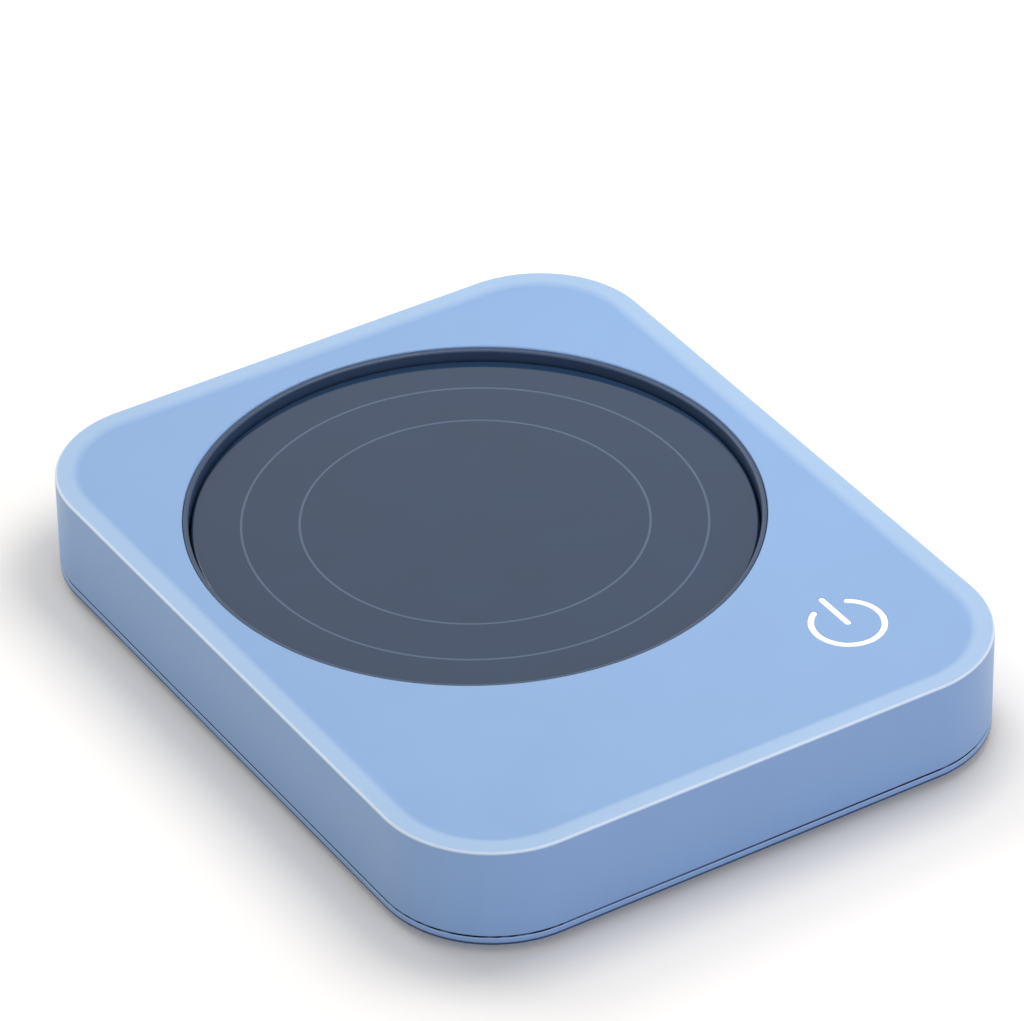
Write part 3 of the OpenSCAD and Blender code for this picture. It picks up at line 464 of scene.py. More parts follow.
@dataclass(frozen=True)
class Plan:
    """Places and sizes that more than one piece uses. The frame gives those without a value."""

    half_width: float
    half_depth: float
    cover_under: float
    seam: float
    rim: float
    well_y: float
    plate_under: float
    plate_top: float
    plate_radius: float
    ring_under: float
    key_at: Place
    key_under: float
    inlet_x: float
    inlet_z: float
    screw_x: float
    screw_y: float
    corner_radius: float = 18.6 * MM
    wall: float = 2.2 * MM
    panel: float = 2.2 * MM
    lip_height: float = 0.4 * MM
    # The floor is 0.02 mm thinner than the solid's, as room under the carrier's sleeves at their stop.
    cover_floor: float = 1.98 * MM
    boss_radius: float = 3.6 * MM
    boss_pad: float = 1.2 * MM
    boss_steps: int = 48
    foot_steps: int = 64
    well_radius: float = 45.0 * MM
    well_steps: int = 192
    ring_ear: float = 3.0 * MM
    ring_screw_out: float = 5.0 * MM
    ring_seat: float = 1.2 * MM
    ring_angles: tuple[float, ...] = (45.0, 135.0, 225.0, 315.0)
    ear_steps: int = 40
    post_circle: float = 33.0 * MM
    small_bore: float = 0.87 * MM
    guide_radius: float = 6.95 * MM
    icon_radius: float = 5.55 * MM
    icon_opening: float = 33.0
    icon_bar: float = 6.9 * MM
    icon_steps: int = 72
    shoulder: float = 0.4 * MM
    arc_steps: int = 26
    inlet_gate: float = 5.5 * MM

    @classmethod
    def from_frame(cls) -> Plan:
        """Reads the places from the boxes of the frame's nodes."""
        head_radius = 2.2 * MM
        housing_low, housing_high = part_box("top_housing")
        plate_low, plate_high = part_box("heating_plate")
        key_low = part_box("icon_lightguide")[0]
        screws_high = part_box("cover_screws")[1]
        inlet_x, _, inlet_z = middle("inlet_pin")
        return cls(
            half_width=housing_high.x,
            half_depth=housing_high.y,
            cover_under=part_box("bottom_cover")[0].z,
            seam=housing_low.z,
            rim=housing_high.z,
            well_y=middle("heating_plate")[1],
            plate_under=plate_low.z,
            plate_top=plate_high.z,
            plate_radius=plate_high.x,
            ring_under=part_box("well_ring")[0].z,
            key_at=(middle("icon_lightguide")[0], key_low.y + cls.guide_radius),
            key_under=key_low.z,
            inlet_x=inlet_x,
            inlet_z=inlet_z,
            screw_x=screws_high.x - head_radius,
            screw_y=screws_high.y - head_radius,
        )

    @property
    def panel_top(self) -> float:
        """Height of the top panel's face."""
        return self.rim - self.lip_height

    @property
    def panel_under(self) -> float:
        """Height of the top panel's underside."""
        return self.panel_top - self.panel

    @property
    def cover_top(self) -> float:
        """Height of the floor inside."""
        return self.cover_under + self.cover_floor

    @property
    def pad_top(self) -> float:
        """Height at which the cover's pads meet the corner bosses."""
        return self.cover_top + self.boss_pad

    @property
    def corner(self) -> Array:
        """Centre of the right back corner's curve."""
        return np.array([self.half_width, self.half_depth]) - self.corner_radius

    @property
    def well_centre(self) -> Array:
        """Centre of the well."""
        return np.array([0.0, self.well_y])

    @property
    def gate_column(self) -> int:
        """Number of the casing outline's column that spans the inlet."""
        return self.arc_steps + 1

    @property
    def gate(self) -> Place:
        """Ends of that column along X."""
        return self.inlet_x - self.inlet_gate, float(self.corner[0]) - self.shoulder

    def casing_outline(self) -> Outline:
        """The casing's outline. It shrinks as it grows by an inset, because its directions point in.

        Four quarter circles are joined by straight sides. A short stretch beside each quarter keeps
        the sides' shading flat, and the back side has a column of its own over the inlet.
        """
        centres = self.corner * CORNERS
        points, outward = [], []
        for turn in range(4):
            here, ahead = centres[turn], centres[(turn + 1) % 4]
            arc = turn_points(90 * turn, 90 * turn + 90, self.arc_steps)
            step = self.shoulder * (ahead - here) / np.linalg.norm(ahead - here)
            stops = [here + step, ahead - step]
            if turn == 0:
                stops.insert(1, np.array([self.gate[0], here[1]]))
            points += [here + self.corner_radius * arc, np.array(stops) + self.corner_radius * arc[-1]]
            outward += [arc, np.broadcast_to(arc[-1], (len(stops), 2))]
        return Outline(np.concatenate(points), -np.concatenate(outward))

    @staticmethod
    def _in_corners(x: float, y: float, steps: int) -> list[Outline]:
        """Round outlines about a point and its mirror images in the other corners."""
        return [round_outline((side * x, end * y), steps) for side in (-1, 1) for end in (-1, 1)]

    def corner_bosses(self) -> list[Outline]:
        """Round outlines about the four cover screws."""
        return self._in_corners(self.screw_x, self.screw_y, self.boss_steps)

    def feet(self) -> list[Outline]:
        """Round outlines about the four feet, at the centres of the corners' curves."""
        return self._in_corners(*self.corner, self.foot_steps)

    def ring_bosses(self) -> list[Outline]:
        """Round outlines about the four screws of the well's ring."""
        out = self.well_radius + self.ring_screw_out
        turns = turn_points(self.ring_angles[0], self.ring_angles[-1], len(self.ring_angles) - 1)
        return [round_outline(self.well_centre + out * turn, self.ear_steps) for turn in turns]

    def posts(self) -> Array:
        """Centres of the three guide posts, round the well's centre."""
        return self.well_centre + self.post_circle * turn_points(90, 330, steps=2)

    def well_outline(self) -> Outline:
        """A round outline about the well's centre."""
        return round_outline(self.well_centre, self.well_steps)

    def icon_outlines(self) -> list[Outline]:
        """The two lines of the power icon: an open ring, and a bar towards its opening."""
        start, end = 90 + self.icon_opening, 450 - self.icon_opening
        ring = self.icon_radius * turn_points(start, end, self.icon_steps)
        upward = np.array([[0.0, 0.0], [0.0, self.icon_bar]])
        return [stroke_outline(np.asarray(self.key_at) + spine) for spine in (ring, upward)]


def carry(made: Piece, finish: Material, slot: str, body: Body, *nodes: str) -> Piece:
    """Gives a piece its finish, rides it on a body and lets it stand for CAD nodes."""
    made.data.materials.append(finish)
    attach(made, body.value)
    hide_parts(*nodes)
    return made


# ---- Casing ----


@dataclass(frozen=True)
class Housing:
    """The upper shell: sides, lip and panel in one moulding, with its bosses inside."""

    plan: Plan
    edge_radius: float = 0.4 * MM
    foot_radius: float = 0.15 * MM
    lip_width: float = 2.3 * MM
    lip_slope: float = 1.8 * MM
    slope_steps: int = 12
    well_edge: float = 0.35 * MM
    strip: float = 0.3 * MM
    icon_half: float = 0.55 * MM
    icon_edge: float = 0.05 * MM
    hole_radius: float = 4.1 * MM
    hole_edge: float = 0.25 * MM
    hole_strip: float = 0.15 * MM
    boss_bore: float = 1.12 * MM
    boss_bore_depth: float = 8.0 * MM
    ring_bore_past_seat: float = 0.7 * MM
    chamfer: float = 0.2 * MM
    rib: float = 1.2 * MM
    rib_reach: float = 7.0 * MM
    rib_under: float = 5.5 * MM

    @property
    def panel_inset(self) -> float:
        """How far in from the outline the panel's face starts, behind the lip's slope."""
        return self.lip_width + self.lip_slope + self.strip

    def build(self) -> Piece:
        """Makes the whole shell."""
        shell = Shell()
        self._sides(shell)
        self._top(shell)
        self._inlet_hole(shell)
        self._inside(shell)
        self._ribs(shell)
        return shell.piece("housing_shell")

    def _sides(self, shell: Shell) -> None:
        """Side walls, rounded at the seam and at the rim, up to the panel behind the lip.

        The slope from the lip down to the panel follows 3t^2 - 2t^3. The lip's mark, a lighter tint that
        is partly a painted highlight, fades with it, and the crease's mark, a painted highlight, is
        sin(180 t) over the rounding.
        """
        plan, outline = self.plan, self.plan.casing_outline()
        low, high = plan.seam + self.foot_radius, plan.rim - self.edge_radius
        foot = bend((self.foot_radius, plan.seam), (0, low), upright_first=False, steps=3)
        shell.wall(outline, (plan.wall, plan.seam), foot, (0, low + self.strip))
        shell.wall(outline, (0, low + self.strip), (0, high - self.strip), skip=[plan.gate_column])
        rounding = bend((0, high), (self.edge_radius, plan.rim), upright_first=True, steps=8)
        t = np.linspace(0, 1, self.slope_steps + 1)
        fall = t * t * (3 - 2 * t)
        slope = np.stack([self.lip_width + self.lip_slope * t, plan.rim - plan.lip_height * fall], -1)
        turn = np.linspace(0, 1, len(rounding))
        lip = np.concatenate([[0], turn ** 2, 1 - fall, [0]])
        # The crease's mark is a painted highlight along the rim's rounding.
        crease = np.concatenate([[0], np.sin(math.pi * turn), np.zeros(len(t) + 1)])
        shell.wall(outline, (0, high - self.strip), rounding, slope, (self.panel_inset, plan.panel_top),
                   marks={Mark.LIP: lip, Mark.HIGHLIGHT: crease})

    def _top(self, shell: Shell) -> None:
        """The panel's face, with rounded edges round the well and the icon's lines."""
        plan = self.plan
        well, icons = plan.well_outline(), plan.icon_outlines()
        radius, top, under = plan.well_radius, plan.panel_top, plan.panel_under
        well_strip = radius + self.well_edge + self.strip
        icon_strip = self.icon_half + 2 * self.icon_edge
        shell.cap([plan.casing_outline().at(self.panel_inset), well.at(well_strip),
                   *(icon.at(icon_strip) for icon in icons)], level(top))
        rounding = bend((radius + self.well_edge, top), (radius, top - self.well_edge),
                        upright_first=False, steps=8)
        shell.wall(well, (well_strip, top), rounding, (radius, under))
        for icon in icons:
            shell.wall(icon, (icon_strip, top), (self.icon_half + self.icon_edge, top),
                       (self.icon_half, top - self.icon_edge), (self.icon_half, under))

    def _inlet_hole(self, shell: Shell) -> None:
        """The back wall's stretch with the round hole for the inlet's nose."""
        plan = self.plan
        left, right = plan.gate
        outer, inner = plan.half_depth, plan.half_depth - plan.wall
        low = plan.seam + self.foot_radius + self.strip
        high = plan.rim - self.edge_radius - self.strip
        hole = round_outline((plan.inlet_x, plan.inlet_z))
        wide = self.hole_radius + self.hole_edge
        for depth, bottom, top, opening in (
            (outer, low, high, wide + self.hole_strip),
            (inner, plan.seam, plan.panel_under, self.hole_radius),
        ):
            patch = np.array([[left, bottom], [right, bottom], [right, top], [left, top]])
            shell.cap([patch, hole.at(opening)], upright(depth))
        shell.loft(stood_up(hole.loops(profile(
            (wide + self.hole_strip, outer),
            bend((wide, outer), (self.hole_radius, outer - self.hole_edge),
                 upright_first=False, steps=4),
            (self.hole_radius, inner),
        ))))

    def _inside(self, shell: Shell) -> None:
        """The inner walls, the panel's underside, and the bosses that hang from it."""
        plan, chamfer = self.plan, self.chamfer
        outline, under = plan.casing_outline(), plan.panel_under
        corners, rings = plan.corner_bosses(), plan.ring_bosses()
        shell.wall(outline, (plan.wall, plan.seam), (plan.wall, under), skip=[plan.gate_column])
        shell.cap([
            outline.at(plan.wall), plan.well_outline().at(plan.well_radius),
            *(icon.at(self.icon_half) for icon in plan.icon_outlines()),
            *(boss.at(plan.boss_radius) for boss in corners),
            *(boss.at(plan.ring_ear) for boss in rings),
        ], level(under))
        for outlines, radius, foot, bore, depth in (
            (corners, plan.boss_radius, plan.pad_top, self.boss_bore, self.boss_bore_depth),
            (rings, plan.ring_ear, under - plan.ring_seat, plan.small_bore,
             plan.ring_seat + self.ring_bore_past_seat),
        ):
            for boss in outlines:
                shell.post(boss, (radius, under), (radius, foot + chamfer), (radius - chamfer, foot),
                           (bore + chamfer, foot), (bore, foot + chamfer), (bore, foot + depth))

    def _ribs(self, shell: Shell) -> None:
        """A rib under the panel from each corner boss towards the casing's corner."""
        plan = self.plan
        reach = (self.rib_reach + plan.boss_radius) / 2
        length = self.rib_reach - plan.boss_radius + self.chamfer
        for signs in CORNERS:
            out = signs / math.sqrt(2)
            ends = out * np.array([[reach - length / 2], [reach + length / 2]])
            spine = signs * np.array([plan.screw_x, plan.screw_y]) + ends
            across = self.rib / 2 * np.array([-out[1], out[0]])
            rib = Outline(np.concatenate([spine + across, spine[::-1] - across]), np.zeros((4, 2)))
            shell.post(rib, (0, self.rib_under), (0, plan.panel_under + self.chamfer), closed_start=True)


@dataclass(frozen=True)
class Stands:
    """What stands on the cover's floor, for the board, the plate, the switch and the inlet."""

    plan: Plan
    edge: float = 0.2 * MM
    steps: int = 32
    standoff_radius: float = 2.4 * MM
    board_head: float = 1.7 * MM
    post_radius: float = 1.5 * MM
    rib: float = 1.6 * MM
    rib_height: float = 4.5 * MM
    rib_gap: float = 0.1 * MM
    pin_radius: float = 1.0 * MM
    pin_height: float = 1.75 * MM
    pin_out: float = 3.25 * MM
    pin_root: float = 0.3 * MM
    pin_past: float = 0.5 * MM
    pin_steps: int = 24
    cradle_middle: float = 5.25 * MM
    cradle_wall: Place = (1.0 * MM, 5.25 * MM)
    cradle_wall_out: float = 5.1 * MM
    cradle_wall_height: float = 4.0 * MM
    cradle_seat: Place = (9.0 * MM, 6.1 * MM)
    cradle_seat_height: float = 0.4 * MM

    def build(self, shell: Shell) -> list[Array]:
        """Makes all of them except the pins.

        Args:
            shell: Takes their walls.

        Returns:
            The holes that they leave in the floor.
        """
        return self._standoffs(shell) + self._posts(shell) + self._blocks(shell)

    def _standoffs(self, shell: Shell) -> list[Array]:
        """The board's three standoffs, bored for its screws."""
        top, bore, radius = self.plan.cover_top, self.plan.small_bore, self.standoff_radius
        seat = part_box("main_board")[0].z
        low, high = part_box("board_screws")
        side, back = high.x - self.board_head, high.y - self.board_head
        stands = [round_outline(centre, self.steps)
                  for centre in ((-side, back), (side, back), (0.0, low.y + self.board_head))]
        for stand in stands:
            shell.post(stand, (radius, top), (radius, seat), (bore, seat), (bore, low.z - self.edge / 2))
        return [stand.at(radius) for stand in stands]

    def _posts(self, shell: Shell) -> list[Array]:
        """The three posts that guide the plate's carrier."""
        top, radius, end = self.plan.cover_top, self.post_radius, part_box("bottom_cover")[1].z
        posts = [round_outline(centre, self.steps) for centre in self.plan.posts()]
        for post in posts:
            shell.post(post, (radius, top), (radius, end - self.edge), (radius - self.edge, end))
        return [post.at(radius) for post in posts]

    def _blocks(self, shell: Shell) -> list[Array]:
        """The switch's rib, and the inlet's cradle: a wall on each side and a seat."""
        top, inlet_x = self.plan.cover_top, self.plan.inlet_x
        switch_low, switch_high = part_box("switch_body")
        rib_y = switch_high.y + self.rib_gap + self.rib / 2
        inlet_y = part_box("inlet_socket")[0].y + self.cradle_middle
        holes = []
        for size, centre, height in (
            ((switch_high.x - switch_low.x, self.rib), (0.0, rib_y), self.rib_height),
            *((self.cradle_wall, (inlet_x + out, inlet_y), self.cradle_wall_height)
              for out in (-self.cradle_wall_out, self.cradle_wall_out)),
            (self.cradle_seat, (inlet_x, inlet_y), self.cradle_seat_height),
        ):
            block, end = box_outline(*size, self.edge, centre), top + height
            shell.post(block, (0, top), (0, end - self.edge / 2), (-self.edge / 2, end))
            holes.append(block.at(0))
        return holes

    def pins(self, shell: Shell) -> None:
        """Makes the two pins that stand out of the switch's rib and carry the switch."""
        low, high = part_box("switch_body")
        ends, radius = (high.y + self.pin_root, low.y - self.pin_past), self.pin_radius
        for x in (-self.pin_out, self.pin_out):
            pin = round_outline((x, self.plan.cover_top + self.pin_height), self.pin_steps)
            shell.loft(stood_up(pin.loops(profile(*((radius, end) for end in ends)))))
            for end in ends:
                shell.cap([pin.at(radius)], upright(end))


@dataclass(frozen=True)
class Cover:
    """The bottom cover: floor, visible edge, shadow groove, tongue, and what stands on it inside."""

    plan: Plan
    edge_radius: float = 0.55 * MM
    groove_height: float = 0.32 * MM
    groove_depth: float = 0.6 * MM
    lip_radius: float = 0.14 * MM
    # Strength of the painted highlight on the cover's lip.
    lip_highlight: float = 0.5
    # Strength of the painted shade on the lower edge's rounding.
    under_shade: float = 0.9
    tongue_inset: float = 2.35 * MM
    tongue: float = 1.2 * MM
    tongue_height: float = 2.0 * MM
    head_recess: float = 2.5 * MM
    head_seat: float = 1.7 * MM
    shank_hole: float = 1.4 * MM
    foot_recess_radius: float = 6.1 * MM
    foot_recess_depth: float = 0.8 * MM
    vent_count: int = 9
    vent_pitch: float = 4.0 * MM
    vent_length: float = 24.0 * MM
    vent_width: float = 1.6 * MM
    label_size: Place = (44.0 * MM, 22.0 * MM)
    label_corner: float = 1.5 * MM
    label_from_front: float = 30.0 * MM
    label_depth: float = 0.3 * MM
    opening_edge: float = 0.15 * MM
    strip: float = 0.2 * MM

    def build(self) -> Piece:
        """Makes the whole cover."""
        shell, stands = Shell(), Stands(self.plan)
        self._edge(shell)
        self._tongue(shell)
        holes = self._through(shell) + stands.build(shell)
        inner_edge = self.plan.casing_outline().at(self.tongue_inset + self.tongue)
        shell.cap([inner_edge, *holes], level(self.plan.cover_top))
        stands.pins(shell)
        return shell.piece("cover_shell")

    def _edge(self, shell: Shell) -> None:
        """The outside, from the underside up to the groove and in to the tongue. The lower edge's rounding
        and the groove are painted dark as shade, and the lip under the groove carries a painted highlight.
        """
        plan, outline = self.plan, self.plan.casing_outline()
        radius, inset = self.lip_radius, self.tongue_inset
        under, groove = plan.cover_under, plan.seam - self.groove_height
        low, high = under + self.edge_radius + self.strip, groove - radius - self.strip
        rounding = bend((self.edge_radius, under), (0, under + self.edge_radius), upright_first=False)
        # Painted shade along the cover's lower edge.
        shade = np.full(len(rounding), self.under_shade)
        shell.wall(outline, (self.edge_radius + self.strip, under), rounding, (0, low),
                   marks={Mark.SHADE: np.concatenate([[0], shade, [0]])})
        # Painted highlight on the cover's lip just under the groove.
        lip = bend((0, groove - radius), (radius, groove), upright_first=True, steps=4)
        shell.wall(outline, (0, low), (0, high), lip,
                   marks={Mark.HIGHLIGHT: self.lip_highlight * np.array([0, 0, 0, 0.6, 1, 0.6, 0])})
        # Painted shade in the groove.
        shell.wall(outline, (radius, groove), (self.groove_depth, groove), (self.groove_depth, plan.seam),
                   (self.groove_depth + radius, plan.seam), (inset, plan.seam), (inset, plan.cover_top),
                   marks={Mark.SHADE: [1, 1, 1, 0, 0, 0]})

    def _tongue(self, shell: Shell) -> None:
        """The tongue inside the housing's wall, cut off at both sides of the inlet."""
        plan, outline, radius = self.plan, self.plan.casing_outline(), self.lip_radius
        front, back = self.tongue_inset, self.tongue_inset + self.tongue
        low, high = plan.cover_top, plan.cover_top + self.tongue_height
        tongue = profile((front, low), (front, high - radius), (front + radius, high),
                         (back - radius, high), (back, high - radius), (back, low))
        rest = [column for column in range(len(outline.points)) if column != plan.gate_column]
        shell.wall(outline, tongue, skip=[plan.gate_column])
        shell.wall(outline, tongue[[0, -1]], skip=rest)
        for x in plan.gate:
            shell.cap([np.stack([plan.half_depth - tongue[:, 0], tongue[:, 1]], axis=-1)], sideways(x))

    def _through(self, shell: Shell) -> list[Array]:
        """The underside with its recesses, and the screw holes and vents that go through.

        Args:
            shell: Takes the faces.

        Returns:
            The holes that the vents and the screw pads leave in the floor inside.
        """
        plan, edge = self.plan, self.opening_edge
        under, top = plan.cover_under, plan.cover_top
        screws, feet = plan.corner_bosses(), plan.feet()
        half_vent, reach = self.vent_width / 2, (self.vent_length - self.vent_width) / 2
        middle_vent = (self.vent_count - 1) / 2
        vents = [
            stroke_outline(np.array([[x, plan.well_y - reach], [x, plan.well_y + reach]]), steps=8)
            for x in (np.arange(self.vent_count) - middle_vent) * self.vent_pitch
        ]
        label = box_outline(*self.label_size, self.label_corner,
                            (0, self.label_from_front - plan.half_depth))
        shell.cap([
            plan.casing_outline().at(self.edge_radius + self.strip),
            *(screw.at(self.head_recess + edge) for screw in screws),
            *(foot.at(self.foot_recess_radius + edge) for foot in feet),
            *(vent.at(half_vent + edge) for vent in vents), label.at(edge),
        ], level(under))
        radius, seat = self.foot_recess_radius, under + self.foot_recess_depth
        for foot in feet:
            shell.post(foot, (radius + edge, under), (radius, under + edge), (radius, seat))
        shell.post(label, (edge, under), (0, under + edge), (0, under + self.label_depth))
        for vent in vents:
            shell.wall(vent, (half_vent + edge, under), (half_vent, under + edge), (half_vent, top))
        seat = under + self.head_seat
        for screw in screws:
            shell.wall(screw, (self.head_recess + edge, under), (self.head_recess, under + edge),
                       (self.head_recess, seat), (self.shank_hole, seat), (self.shank_hole, plan.pad_top),
                       (plan.boss_radius - edge, plan.pad_top), (plan.boss_radius, plan.pad_top - edge),
                       (plan.boss_radius, top))
        return [vent.at(half_vent) for vent in vents] + [screw.at(plan.boss_radius) for screw in screws]


@dataclass(frozen=True)
class Feet:
    """Four round rubber feet with a shallow groove in the face that they stand on."""

    plan: Plan
    radius: float = 6.0 * MM
    top: float = 2.0 * MM
    edge: float = 0.4 * MM
    strip: float = 0.1 * MM
    groove: Place = (3.6 * MM, 4.4 * MM)
    groove_depth: float = 0.25 * MM

    def build(self) -> Piece:
        """Makes the four feet: one turned profile at each corner's centre."""
        shell = Shell()
        inner, outer = self.groove
        slant, flat = self.groove_depth / 2, self.radius - self.edge
        sides = profile(
            (inner, 0), (inner + slant, self.groove_depth), (outer - slant, self.groove_depth), (outer, 0),
            (flat - self.strip, 0), bend((flat, 0), (self.radius, self.edge), upright_first=False),
            (self.radius, self.top),
        )
        for foot in self.plan.feet():
            shell.post(foot, sides, closed_start=True)
        return shell.piece("feet")


# ---- Well and heating plate ----


@dataclass(frozen=True)
class Well:
    """The dark ring that lines the well, and the glass plate that lies in it."""

    plan: Plan
    ring_gap: float = 0.1 * MM
    ring_wall: float = 0.8 * MM
    ring_drop: float = 0.3 * MM
    flange: float = 1.8 * MM
    flange_thickness: float = 1.4 * MM
    flange_steps: int = 720
    screw_hole: float = 1.15 * MM
    glass_edge: float = 0.4 * MM
    ease: float = 0.1 * MM
    strip: float = 0.3 * MM

    def build_ring(self) -> Piece:
        """The ring: a turned wall with a flange that bulges to an ear at each screw."""
        plan, shell, top = self.plan, Shell(), self.plan.panel_top - self.ring_drop
        outer, half_wall = plan.well_radius - self.ring_gap, self.ring_wall / 2
        inner = outer - self.ring_wall
        seat = plan.panel_under - plan.ring_seat
        under = seat - self.flange_thickness
        well, holes = plan.well_outline(), plan.ring_bosses()
        shell.wall(
            well, (outer, under), (outer, plan.ring_under), (inner, plan.ring_under),
            bend((inner, top - half_wall), (inner + half_wall, top), upright_first=True),
            bend((outer - self.ease, top), (outer, top - self.ease), upright_first=False, steps=3),
            (outer, seat),
        )
        flange = eared_outline(plan.well_centre, plan.well_radius + self.flange,
                               plan.well_radius + plan.ring_screw_out, plan.ring_ear,
                               plan.ring_angles, self.flange_steps)
        for height in (seat, under):
            shell.cap([flange.at(0), well.at(outer), *(hole.at(self.screw_hole) for hole in holes)],
                      level(height))
        shell.wall(flange, (0, under), (0, seat))
        for hole in holes:
            shell.wall(hole, (self.screw_hole, under), (self.screw_hole, seat))
        return shell.piece("well_lining")

    def build_plate(self) -> Piece:
        """The glass plate: a disc with a rounded upper edge."""
        plan, shell, ease, edge = self.plan, Shell(), self.ease, self.glass_edge
        radius, under, top = plan.plate_radius, plan.plate_under, plan.plate_top
        shell.post(
            plan.well_outline(), (radius - ease, under), (radius, under + ease), (radius, top - edge - ease),
            bend((radius, top - edge), (radius - edge, top), upright_first=True, steps=8),
            (radius - edge - self.strip, top),
            closed_start=True,
        )
        return shell.piece("glass_plate")


@dataclass(frozen=True)
class TouchKey:
    """The white light guide whose lines fill the icon's slots in the panel."""

    plan: Plan
    line_half: float = 0.5 * MM
    edge: float = 0.05 * MM
    base_steps: int = 360

    def build(self) -> Piece:
        """Makes the base disc with the icon's lines standing on it, flush with the panel.

        The disc bulges under the bar's far end, which reaches past it.
        """
        plan, shell, half = self.plan, Shell(), self.line_half
        shelf, top = plan.panel_under, plan.panel_top
        base = eared_outline(plan.key_at, plan.guide_radius, plan.icon_bar, half + self.edge, (90,),
                             self.base_steps)
        shell.wall(base, (0, plan.key_under), (0, shelf))
        shell.cap([base.at(0)], level(plan.key_under))
        icons = plan.icon_outlines()
        shell.cap([base.at(0), *(icon.at(half) for icon in icons)], level(shelf))
        for icon in icons:
            shell.post(icon, (half, shelf), (half, top - self.edge), (half - self.edge, top))
        return shell.piece("power_icon")


# ---- What the plate carries with it ----


@dataclass(frozen=True)
class Springs:
    """The three coil springs under the plate's carrier, built at their full height; the real ones flatten as
    the plate sinks.
    """

    plan: Plan
    radius: float = 3.42 * MM
    wire: float = 0.25 * MM
    turns: float = 4.5
    flat: float = 0.75
    steps: int = 180

    def build(self) -> Piece:
        """Makes the springs: a circle that climbs evenly between a flat turn at each end."""
        low, high = (corner.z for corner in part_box("plate_springs"))
        turn = np.linspace(0, self.turns, self.steps + 1)
        rise = np.clip((turn - self.flat) / (self.turns - 2 * self.flat), 0, 1)
        height = low + self.wire + (high - low - 2 * self.wire) * rise
        circle = self.radius * np.stack([np.cos(2 * math.pi * turn), np.sin(2 * math.pi * turn)], -1)
        shell = Shell()
        for centre in self.plan.posts():
            shell.loft(tube(np.column_stack([centre + circle, height]), self.wire, (0, 0, 1)))
        return shell.piece("coil_springs")

    def dress(self, made: Piece, travel: float) -> None:
        """Gives the springs a mesh of their own."""
        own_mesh(made)


@dataclass(frozen=True)
class Leads:
    """A pair of leads from the plate to a connector on the board, built in one shape; the real ones bend as
    the plate sinks.

    They hang from above, bend forward through a quarter circle and run level to the connector.
    """

    name: str
    node: str
    slot: str
    connector: str
    top: tuple[float, float, float]
    pair: Place
    end_pair: float
    bend: float
    level: float
    radius: float
    waypoints: tuple[Place, ...] = ()
    straight: float = 3.5 * MM
    clearance: float = 0.3 * MM

    def _end(self) -> Array:
        """Where the pair enters the connector."""
        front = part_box(self.connector)[1].y + self.clearance
        return np.array([middle(self.connector)[0], front, self.level])

    def build(self) -> Piece:
        """Makes both leads as tubes along smooth paths."""
        shell = Shell()
        for side in (-1, 1):
            top = np.array(self.top) + side * np.array([*self.pair, 0])
            end = self._end() + np.array([side * self.end_pair, 0, 0])
            quarter = turn_points(0, 90, steps=3)
            turn = np.column_stack([
                np.full(len(quarter), top[0]), top[1] - self.bend * (1 - quarter[:, 0]),
                self.level + self.bend * (1 - quarter[:, 1]),
            ])
            over = np.array([[x + side * self.pair[0], y, self.level] for x, y in self.waypoints])
            if not self.waypoints:
                over = top + (end - top) * np.array([[1 / 3], [2 / 3]])
                over[:, 2] = self.level
            route = np.concatenate([
                top[None], turn[turn[:, 2] < top[2] - self.radius], over,
                end + np.array([[0, self.straight, 0]]), end[None],
            ])
            shell.loft(tube(smooth_path(route), self.radius, (1, 0, 0)))
        return shell.piece(self.name)

    def dress(self, made: Piece, finish: Material) -> None:
        """Gives the leads their finish, lets them stand for the CAD's, and bakes their placing into the
        mesh.
        """
        made.data.materials.append(finish)
        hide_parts(self.node)
        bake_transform(made)


def plate_leads(plan: Plan) -> tuple[Leads, Leads]:
    """The heater's power leads and the temperature sensor's leads, from the frame's boxes."""
    gap, tray_floor = 0.05 * MM, 1.2 * MM
    level_z = (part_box("insulation_pad")[0].z - tray_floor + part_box("main_board")[1].z) / 2
    angle, circle, pair, bead_pair = math.radians(235), 34 * MM, 1.25 * MM, 0.75 * MM
    heater_top = (circle * math.cos(angle), plan.well_y + circle * math.sin(angle),
                  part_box("heater_foil")[0].z - gap)
    bead_x, bead_y, _ = middle("thermistor")
    sensor_top = (bead_x, bead_y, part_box("thermistor")[0].z - gap)
    return (
        Leads("heater_wires", "heater_leads", "red_insulation", "heater_connector", heater_top,
              pair=(-pair * math.sin(angle), pair * math.cos(angle)), end_pair=pair,
              bend=2.4 * MM, level=level_z, radius=0.8 * MM),
        Leads("sensor_wires", "sensor_leads", "white_insulation", "signal_connector", sensor_top,
              pair=(bead_pair, 0.0), end_pair=bead_pair,
              bend=sensor_top[2] - level_z, level=level_z, radius=0.5 * MM,
              waypoints=((12.5 * MM, plan.well_y - 16 * MM), (14.5 * MM, plan.well_y - 34 * MM))),
    )


# ---- Shader groups ----


